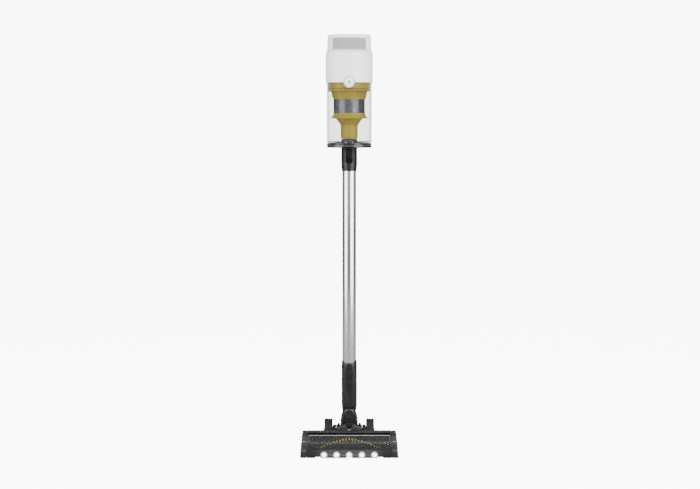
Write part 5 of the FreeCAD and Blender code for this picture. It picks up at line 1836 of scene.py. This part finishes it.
# ---------------------------------------------------------------- motor unit
@dataclass
class MotorUnit(Assembly):
    """White motor housing with the bin release button, and the cap with its vent holes."""

    radius: float = 60.0
    low_z: float = 949.0
    top_z: float = 1027.0
    cap_r: float = 56.0
    release_z: float = 950.0
    hole_columns: int = 19
    hole_rows: int = 8
    hole_low: float = 1031.6
    hole_rise: float = 3.9
    field_degrees: float = 52.5
    hole_r: float = 1.85

    def housing(self) -> bmesh.types.BMesh:
        """Housing wall with a rounded shoulder, its deck, the ring around the release button, and near-black
        rings painted as the shade in the gaps round the button and under the cap.

        Returns:
            The mesh.
        """
        r = self.radius
        profile = [
            (r - 2.4, self.low_z), (r, self.low_z, 0.8), (r, self.top_z, 3.4),
            (r - 4.2, self.top_z - 0.1, 0.3), (r - 4.6, self.top_z - 0.8), (42, self.top_z - 0.8),
            (42, self.top_z - 3), (r - 2.4, self.top_z - 3), (r - 2.4, 954.6), (31, 954.6), (31, 951.8),
            (r - 2.4, 951.8)
        ]
        ring = [(13.4, 57.8), (14.3, 57.8), (14.3, 61.0, 0.5), (13.4, 61.2, 0.3)]
        collar = moved(
            turned(soften(ring), steps=96), LIE_Y,
            Matrix.Translation((0, 0, self.release_z))
        )
        # Painted shade: a near-black ring in the button's gap.
        gap = moved(
            turned([(11.4, 57.8), (13.4, 57.8), (13.4, 61.0), (11.4, 61.0)], steps=96),
            LIE_Y, Matrix.Translation((0, 0, self.release_z))
        )
        # Painted shade: a near-black bead over the joint under the cap.
        seam = bead(
            [(56.5 * x, 56.5 * y, self.top_z + 0.2) for x, y in arc((0, 0), 1, 0, 357, 120)], 0.6, True
        )
        return merge(turned(soften(profile), steps=192), collar, painted(gap, 1), painted(seam, 1))

    def button(self) -> bmesh.types.BMesh:
        """Round button, softly domed, with a small grey wedge over a bar.

        Returns:
            The mesh.
        """
        face = [(0, 63.0), (7.6, 62.9, 8), (11.2, 62.3, 1), (12.1, 61.5, 0.4), (12.1, 59.4), (0, 59.4)]
        disc = moved(
            turned(soften(face, closed=False), closed=False, steps=96),
            LIE_Y, Matrix.Translation((0, 0, self.release_z))
        )
        wedge = prism(
            soften([(-4.2, 949.2, 0.4), (4.2, 949.2, 0.4), (0, 954.8, 0.4)]), -63.15, -62.6, Axis.Y, 0.1,
            1
        )
        bar = brick((-4.2, -63.15, 945.4), (4.2, -62.5, 947.2), 0.15, 1)
        return merge(disc, painted(wedge, 1), painted(bar, 1))

    def cap_radius(self, z: float) -> float:
        """Radius of the cap's wall at a height: a little wider at its foot."""
        return self.cap_r - 1.3 * min(max((z - 1029) / 32, 0), 1)

    def cap(self) -> bmesh.types.BMesh:
        """Cap: arched top, rounded shoulder, smooth foot, and round blind vents in front; the vents and the
        cap's underside are painted dark as shade.

        Returns:
            The mesh.
        """
        low = self.hole_low - self.hole_rise
        high = self.hole_low + self.hole_rise * self.hole_rows
        wall = [(54, 1027.4), (self.cap_r, 1027.4, 0.5), (self.cap_r, low), (self.cap_radius(high), high)]
        top = [(54.7, 1069.2, 6.5), (44, 1069.7, 4), (20, 1070), (0, 1070)]
        inside = [(0, 1067.6), (52.4, 1067.0, 5), (53.4, 1027.4)]
        bm = turned(soften(wall + top, closed=False), closed=False, steps=144)
        half = math.radians(self.field_degrees) + 1e-3
        gone = []
        for face in bm.faces:
            spot = face.calc_center_median()
            turn = abs(math.atan2(spot.x, -spot.y))
            if low < spot.z < high and turn < half and math.hypot(spot.x, spot.y) > 54:
                gone.append(face)
        bmesh.ops.delete(bm, geom=gone, context="FACES")
        return merge(
            bm, self.vents(low, high),
            painted(turned(soften(inside, closed=False), closed=False, steps=96), 1)
        )

    def vents(self, low: float, high: float) -> bmesh.types.BMesh:
        """The pierced part of the wall, made flat, pierced and then bent to the cap's radius.

        Args:
            low: lower end.
            high: upper end.

        Returns:
            The mesh.
        """
        columns, rows = self.hole_columns + 2, self.hole_rows + 2
        half = math.radians(self.field_degrees)
        width = 2 * half * self.cap_r
        bm = bmesh.new()
        bmesh.ops.create_grid(bm, x_segments=columns - 1, y_segments=rows - 1, size=0.5)
        pitch = width / (columns - 1)
        holes = []
        for vert in bm.verts:
            column = round((vert.co.x + 0.5) * (columns - 1))
            row = round((vert.co.y + 0.5) * (rows - 1))
            inner = 0 < row < rows - 1 and 0 < column < columns - 1
            shift = 0.25 * pitch * (1 if row % 2 else -1) if inner else 0.0
            vert.co = (-width / 2 + pitch * column + shift, low + (high - low) * row / (rows - 1), 0)
            if inner:
                holes.append(vert)
        made = bmesh.ops.bevel(
            bm, geom=holes, offset=1.9, offset_type="OFFSET", affect="VERTICES", segments=3, profile=0.5,
            material=-1
        )
        spots = bmesh.ops.dissolve_faces(
            bm, faces=[face for face in made["faces"] if face.calc_area() < 8]
        )["region"]
        for face in spots:
            middle = sum((vert.co for vert in face.verts), Vector()) / len(face.verts)
            for vert in face.verts:
                vert.co = middle + (vert.co - middle).normalized() * self.hole_r
        # Painted shade: the blind holes are sunk and their floors and walls painted near-black, standing in
        # for the dark inside real vents.
        for face in bmesh.ops.extrude_discrete_faces(bm, faces=spots)["faces"]:
            bmesh.ops.translate(bm, verts=face.verts, vec=(0, 0, -2.0))
            for edge in face.edges:
                for wall in edge.link_faces:
                    wall.material_index = 1
        # Painted shade: inner lands between holes take the grey vent finish so the field reads darker.
        for face in bm.faces:
            spot = face.calc_center_median()
            across = abs(spot.x) < width / 2 - 0.8 * pitch
            upright = abs(2 * spot.y - low - high) < high - low - 1.6 * self.hole_rise
            if across and upright and not face.material_index:
                face.material_index = 2
        for vert in bm.verts:
            angle = vert.co.x / self.cap_r
            reach = self.cap_radius(vert.co.y) + vert.co.z
            vert.co = (reach * math.sin(angle), -reach * math.cos(angle), vert.co.y)
        return bm

    def build(self, frame: dict) -> None:
        """Makes the pieces of the motor unit.

        Args:
            frame: the loaded frame, node name to object.
        """
        self.piece(
            "housing_shell", self.housing(), [WHITE, GREY_LINE], "handheld", "white_housing",
            ("main_housing",)
        )
        self.piece(
            "release_disc", self.button(), [WHITE_BUTTON, GREY_LINE], "bin_release", "white_button",
            ("bin_release_button",)
        )
        self.piece(
            "vent_cap", self.cap(), [WHITE_CAP, BLACK_DEEP, VENT_LAND_SHADE], "cap", "white_housing",
            ("exhaust_cap",)
        )
        self.dress(frame, STEEL, "motor_can")
        self.dress(frame, BLACK, "impeller")
        self.dress(frame, PAPER, "exhaust_filter")


@dataclass
class Handle(Assembly):
    """Pistol grip in two halves, its trigger and mode button, and the battery under it."""

    half: float = 17.0
    top_z: float = 1022.0
    front_y: float = 102.0
    rear_y: float = 136.0
    low_z: float = 926.0
    mode_y: float = 84.0
    cut_half: float = 7.4

    def outline(self) -> list:
        """Side outline of the grip as (Y, Z) points."""
        front, rear, low, top = self.front_y, self.rear_y, self.low_z, self.top_z
        return soften(
            [
                (58.8, top), (rear - 16, top, 14), (rear - 2, top - 12, 12), (rear + 2, low + 40, 40),
                (142, low + 12, 6), (142, low, 1), (78, low, 1), (78, low + 8, 3),
                (front + 2, low + 18, 8), (front + 0.6, 954.6), (front, 981.4), (front, 983, 1),
                (front - 8, 991, 5), (58.8, 991)
            ]
        )

    def shell(self) -> bmesh.types.BMesh:
        """Right half of the grip, hollow, with a rounded edge and room for the trigger.

        Returns:
            The mesh.
        """
        bm = bmesh.new()
        side = bm.faces.new([bm.verts.new((self.half, y, z)) for y, z in self.outline()])
        rim = list(side.edges)
        drawn = bmesh.ops.extrude_edge_only(bm, edges=rim)["geom"]
        bmesh.ops.translate(bm, verts=corners(drawn), vec=(-self.half, 0, 0))
        bmesh.ops.recalc_face_normals(bm, faces=bm.faces)
        round_edges(bm, rim, 5.0, 5)
        for spot, way in (
            ((self.cut_half, 0, 0), (1, 0, 0)), ((0, self.mode_y - self.cut_half, 0), (0, 1, 0)),
            ((0, self.mode_y + self.cut_half, 0), (0, 1, 0))
        ):
            split(bm, spot, way)
        gone = []
        for face in bm.faces:
            spot = face.calc_center_median()
            at_trigger = abs(spot.y - self.front_y) < 1.5 and 956 < spot.z < 980
            at_mode = abs(spot.y - self.mode_y) < self.cut_half and spot.z > self.top_z - 3
            if spot.x < self.cut_half and (at_trigger or at_mode):
                gone.append(face)
        bmesh.ops.delete(bm, geom=gone, context="FACES")
        bmesh.ops.solidify(bm, geom=bm.faces[:], thickness=2.2)
        return bm

    def soft_grip(self) -> bmesh.types.BMesh:
        """Rubber cross ribs on the back of the grip, and the bezel around the mode button.

        Returns:
            The mesh.
        """
        ribs = []
        for number in range(9):
            z = self.low_z + 24 + 6.2 * number
            y = self.rear_y + 1.6 - 0.075 * (z - self.low_z - 40)
            ribs.append(rod(1.3, (-8, y, z), (8, y, z), 0.8, 16))
        bezel = turned(
            soften([(7.2, 1021.4), (10.9, 1021.4), (10.9, 1022.3, 0.4), (7.2, 1022.3, 0.3)]), steps=64
        )
        return merge(moved(bezel, Matrix.Translation((0, self.mode_y, 0))), *ribs)

    def trigger(self) -> bmesh.types.BMesh:
        """Trigger with a hollow for the finger."""
        shape = soften(
            [
                (106, 955), (97, 955, 3), (95, 958.5, 3), (98.6, 968, 14), (95, 978, 3), (97, 981, 3),
                (106, 981)
            ]
        )
        return prism(shape, -7, 7, Axis.X, 2.0, 4)

    def mode(self) -> bmesh.types.BMesh:
        """Round mode button with a dished face and a bright ring.

        Returns:
            The mesh.
        """
        profile = soften(
            [
                (0, 1022.4), (4.2, 1022.9, 2), (6.0, 1023.2, 0.5), (6.9, 1022.6, 0.5), (6.9, 1020),
                (0, 1020)
            ],
            closed=False
        )
        ring = [(4.6, 1023.0), (5.2, 1023.0), (5.2, 1023.25), (4.6, 1023.25)]
        return moved(
            merge(turned(profile, closed=False, steps=64), painted(turned(ring, steps=64), 1)),
            Matrix.Translation((0, self.mode_y, 0))
        )

    def battery_trim(self) -> bmesh.types.BMesh:
        """Seam line, side grips, charge lamps and the collar of the charging socket.

        Returns:
            The mesh.
        """
        seam = [(x, y, 914.8) for x, y in oblong(72.2, 66.2, 6, (0, 109), 6)]
        parts = [bead(seam, 0.45, True)]
        parts += [
            brick((side * 36 - 0.7, 92 + 5 * n, 884), (side * 36 + 0.7, 94.4 + 5 * n, 908), 0.6, 2)
            for side in (-1, 1) for n in range(7)
        ]
        collar = turned(soften([(2.9, -1.5), (4.6, -1.5), (4.6, 0.35, 0.4), (2.9, 0.35, 0.3)]), steps=48)
        parts.append(
            painted(
                moved(
                    collar, Matrix.Rotation(-math.pi / 2, 4, "X"), Matrix.Translation((22, 142, 914.5))
                ),
                1
            )
        )
        for number in range(3):
            parts.append(
                painted(
                    rod(1.1, (-24 + 5 * number, 141, 914.5), (-24 + 5 * number, 142.4, 914.5), 0.4, 20), 1
                )
            )
        return merge(*parts)

    def latch(self) -> bmesh.types.BMesh:
        """Battery catch with grip ribs.

        Returns:
            The mesh.
        """
        plate = brick((-10, 139.8, 906.7), (10, 143.2, 918.7), 0.8, 3)
        ribs = [rod(0.5, (-7, 143.2, z), (7, 143.2, z), 0.3, 12) for z in (910, 912.7, 915.4)]
        return merge(plate, *ribs)

    def build(self, frame: dict) -> None:
        """Makes the pieces of the handle and the battery.

        Args:
            frame: the loaded frame, node name to object.
        """
        for side, name in ((1, "right"), (-1, "left")):
            half = moved(self.shell(), Matrix.Diagonal((side, 1, 1, 1)))
            self.piece(
                f"grip_{name}", half, WHITE, "handheld", "white_housing", (f"handle_shell_{name}",), 50
            )
        self.piece("grip_ribs", self.soft_grip(), RUBBER, "handheld", "seal_rubber")
        self.piece("trigger_lever", self.trigger(), YELLOW, "trigger", "grey_plastic", ("trigger",))
        self.piece(
            "mode_disc", self.mode(), [BLACK, TRIM_AND_HIGHLIGHT], "mode_button", "grey_plastic", ("mode_button",)
        )
        self.piece("battery_trim", self.battery_trim(), [BLACK_DEEP, TRIM_AND_HIGHLIGHT], "battery", "black_plastic")
        self.piece("catch_plate", self.latch(), GREY, "battery_latch", "grey_plastic", ("battery_latch",))
        self.dress(frame, BLACK, "battery_case")
        self.dress(frame, STEEL, "handle_screws")
        self.dress(frame, CELL, "battery_cells")
        self.dress(frame, BOARD, "control_board")


# ---------------------------------------------------------------- studio
@dataclass
class Studio:
    """Pale floor, soft lights and the camera."""

    eye: Tuple[float, float, float] = (0.002, -3.3, 0.873)
    target: Tuple[float, float, float] = (0.002, 0.0, 0.5355)
    lens: float = 66.2

    def floor(self) -> None:
        """Pale plain floor that reaches the horizon."""
        bm = bmesh.new()
        bmesh.ops.create_circle(bm, cap_ends=True, segments=96, radius=40)
        mesh = bpy.data.meshes.new("floor")
        bm.to_mesh(mesh)
        bm.free()
        made = bpy.data.materials.new("pale_floor")
        made.use_nodes = True
        sheet = Sheet(made.node_tree)
        shader = made.node_tree.nodes["Principled BSDF"]
        shader.inputs["Roughness"].default_value = 0.9
        shader.inputs["Specular IOR Level"].default_value = 0.1
        seen = sheet.node("ShaderNodeLightPath").outputs["Is Camera Ray"]
        shader.inputs["Emission Color"].default_value = (1, 1, 1, 1)
        sheet.feed(shader.inputs["Base Color"], sheet.blend(seen, (0.3, 0.3, 0.3), (0.8, 0.8, 0.8)))
        sheet.feed(shader.inputs["Emission Strength"], sheet.sum("MULTIPLY", seen, 8.4))
        mesh.materials.append(made)
        floor = bpy.data.objects.new("floor", mesh)
        bpy.context.scene.collection.objects.link(floor)

    def world(self) -> None:
        """Bright surround for the eye, and a dimmer one for what the surfaces mirror."""
        world = bpy.data.worlds.new("studio")
        world.use_nodes = True
        sheet = Sheet(world.node_tree)
        shader = world.node_tree.nodes["Background"]
        seen = sheet.node("ShaderNodeLightPath").outputs["Is Camera Ray"]
        axes = sheet.node(
            "ShaderNodeSeparateXYZ", {"Vector": sheet.node("ShaderNodeTexCoord").outputs["Generated"]}
        ).outputs
        dim = sheet.blend(sheet.ramp(axes["Y"], -0.4, 0.5), (0.72, 0.72, 0.73), (0.28, 0.28, 0.285))
        sheet.feed(shader.inputs["Color"], sheet.blend(seen, dim, (9.0, 9.0, 9.0)))
        bpy.context.scene.world = world

    def lamp(self, name: str, spot: Point, aim: Point, size: Tuple[float, float], power: float) -> None:
        """Adds a soft rectangular light.

        Args:
            name: the light's name.
            spot: where it stands.
            aim: what it points at.
            size: width and height of the panel.
            power: watts.
        """
        light = bpy.data.lights.new(name, "AREA")
        light.shape = "RECTANGLE"
        light.size, light.size_y = size
        light.energy = power
        made = bpy.data.objects.new(name, light)
        bpy.context.scene.collection.objects.link(made)
        made.location = spot
        made.rotation_euler = (Vector(aim) - Vector(spot)).to_track_quat("-Z", "Y").to_euler()

    def camera(self) -> None:
        """Places the camera."""
        data = bpy.data.cameras.new("camera")
        data.sensor_width = 36.0
        data.lens = self.lens
        made = bpy.data.objects.new("camera", data)
        bpy.context.scene.collection.objects.link(made)
        made.location = self.eye
        made.rotation_euler = (Vector(self.target) - Vector(self.eye)).to_track_quat("-Z", "Y").to_euler()
        bpy.context.scene.camera = made

    def build(self) -> None:
        """Sets the stage."""
        self.floor()
        self.world()
        self.lamp("tall_left", (-1.8, -1.26, 0.9), (0, 0, 0.55), (1.7, 2.6), 115)
        self.lamp("tall_right", (1.6, -1.5, 0.9), (0, 0, 0.55), (1.8, 2.6), 142)
        self.lamp("front_fill", (0.0, -2.6, 3.0), (0, 0, 0.3), (2.4, 0.8), 48)
        self.lamp("overhead", (0.0, 0.1, 3.2), (0, 0, 0), (3.0, 2.0), 48)
        self.camera()


def main() -> None:
    """Builds the looks over the frame."""
    logging.basicConfig(level=logging.INFO, format="%(name)s %(message)s")
    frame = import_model()
    for assembly in (FloorHead(), Neck(), LowerSleeve(), Wand(), DustBin(), Cyclone(), MotorUnit(), Handle()):
        assembly.build(frame)
        assembly.report()
    Studio().build()


if __name__ == "__main__":
    main()
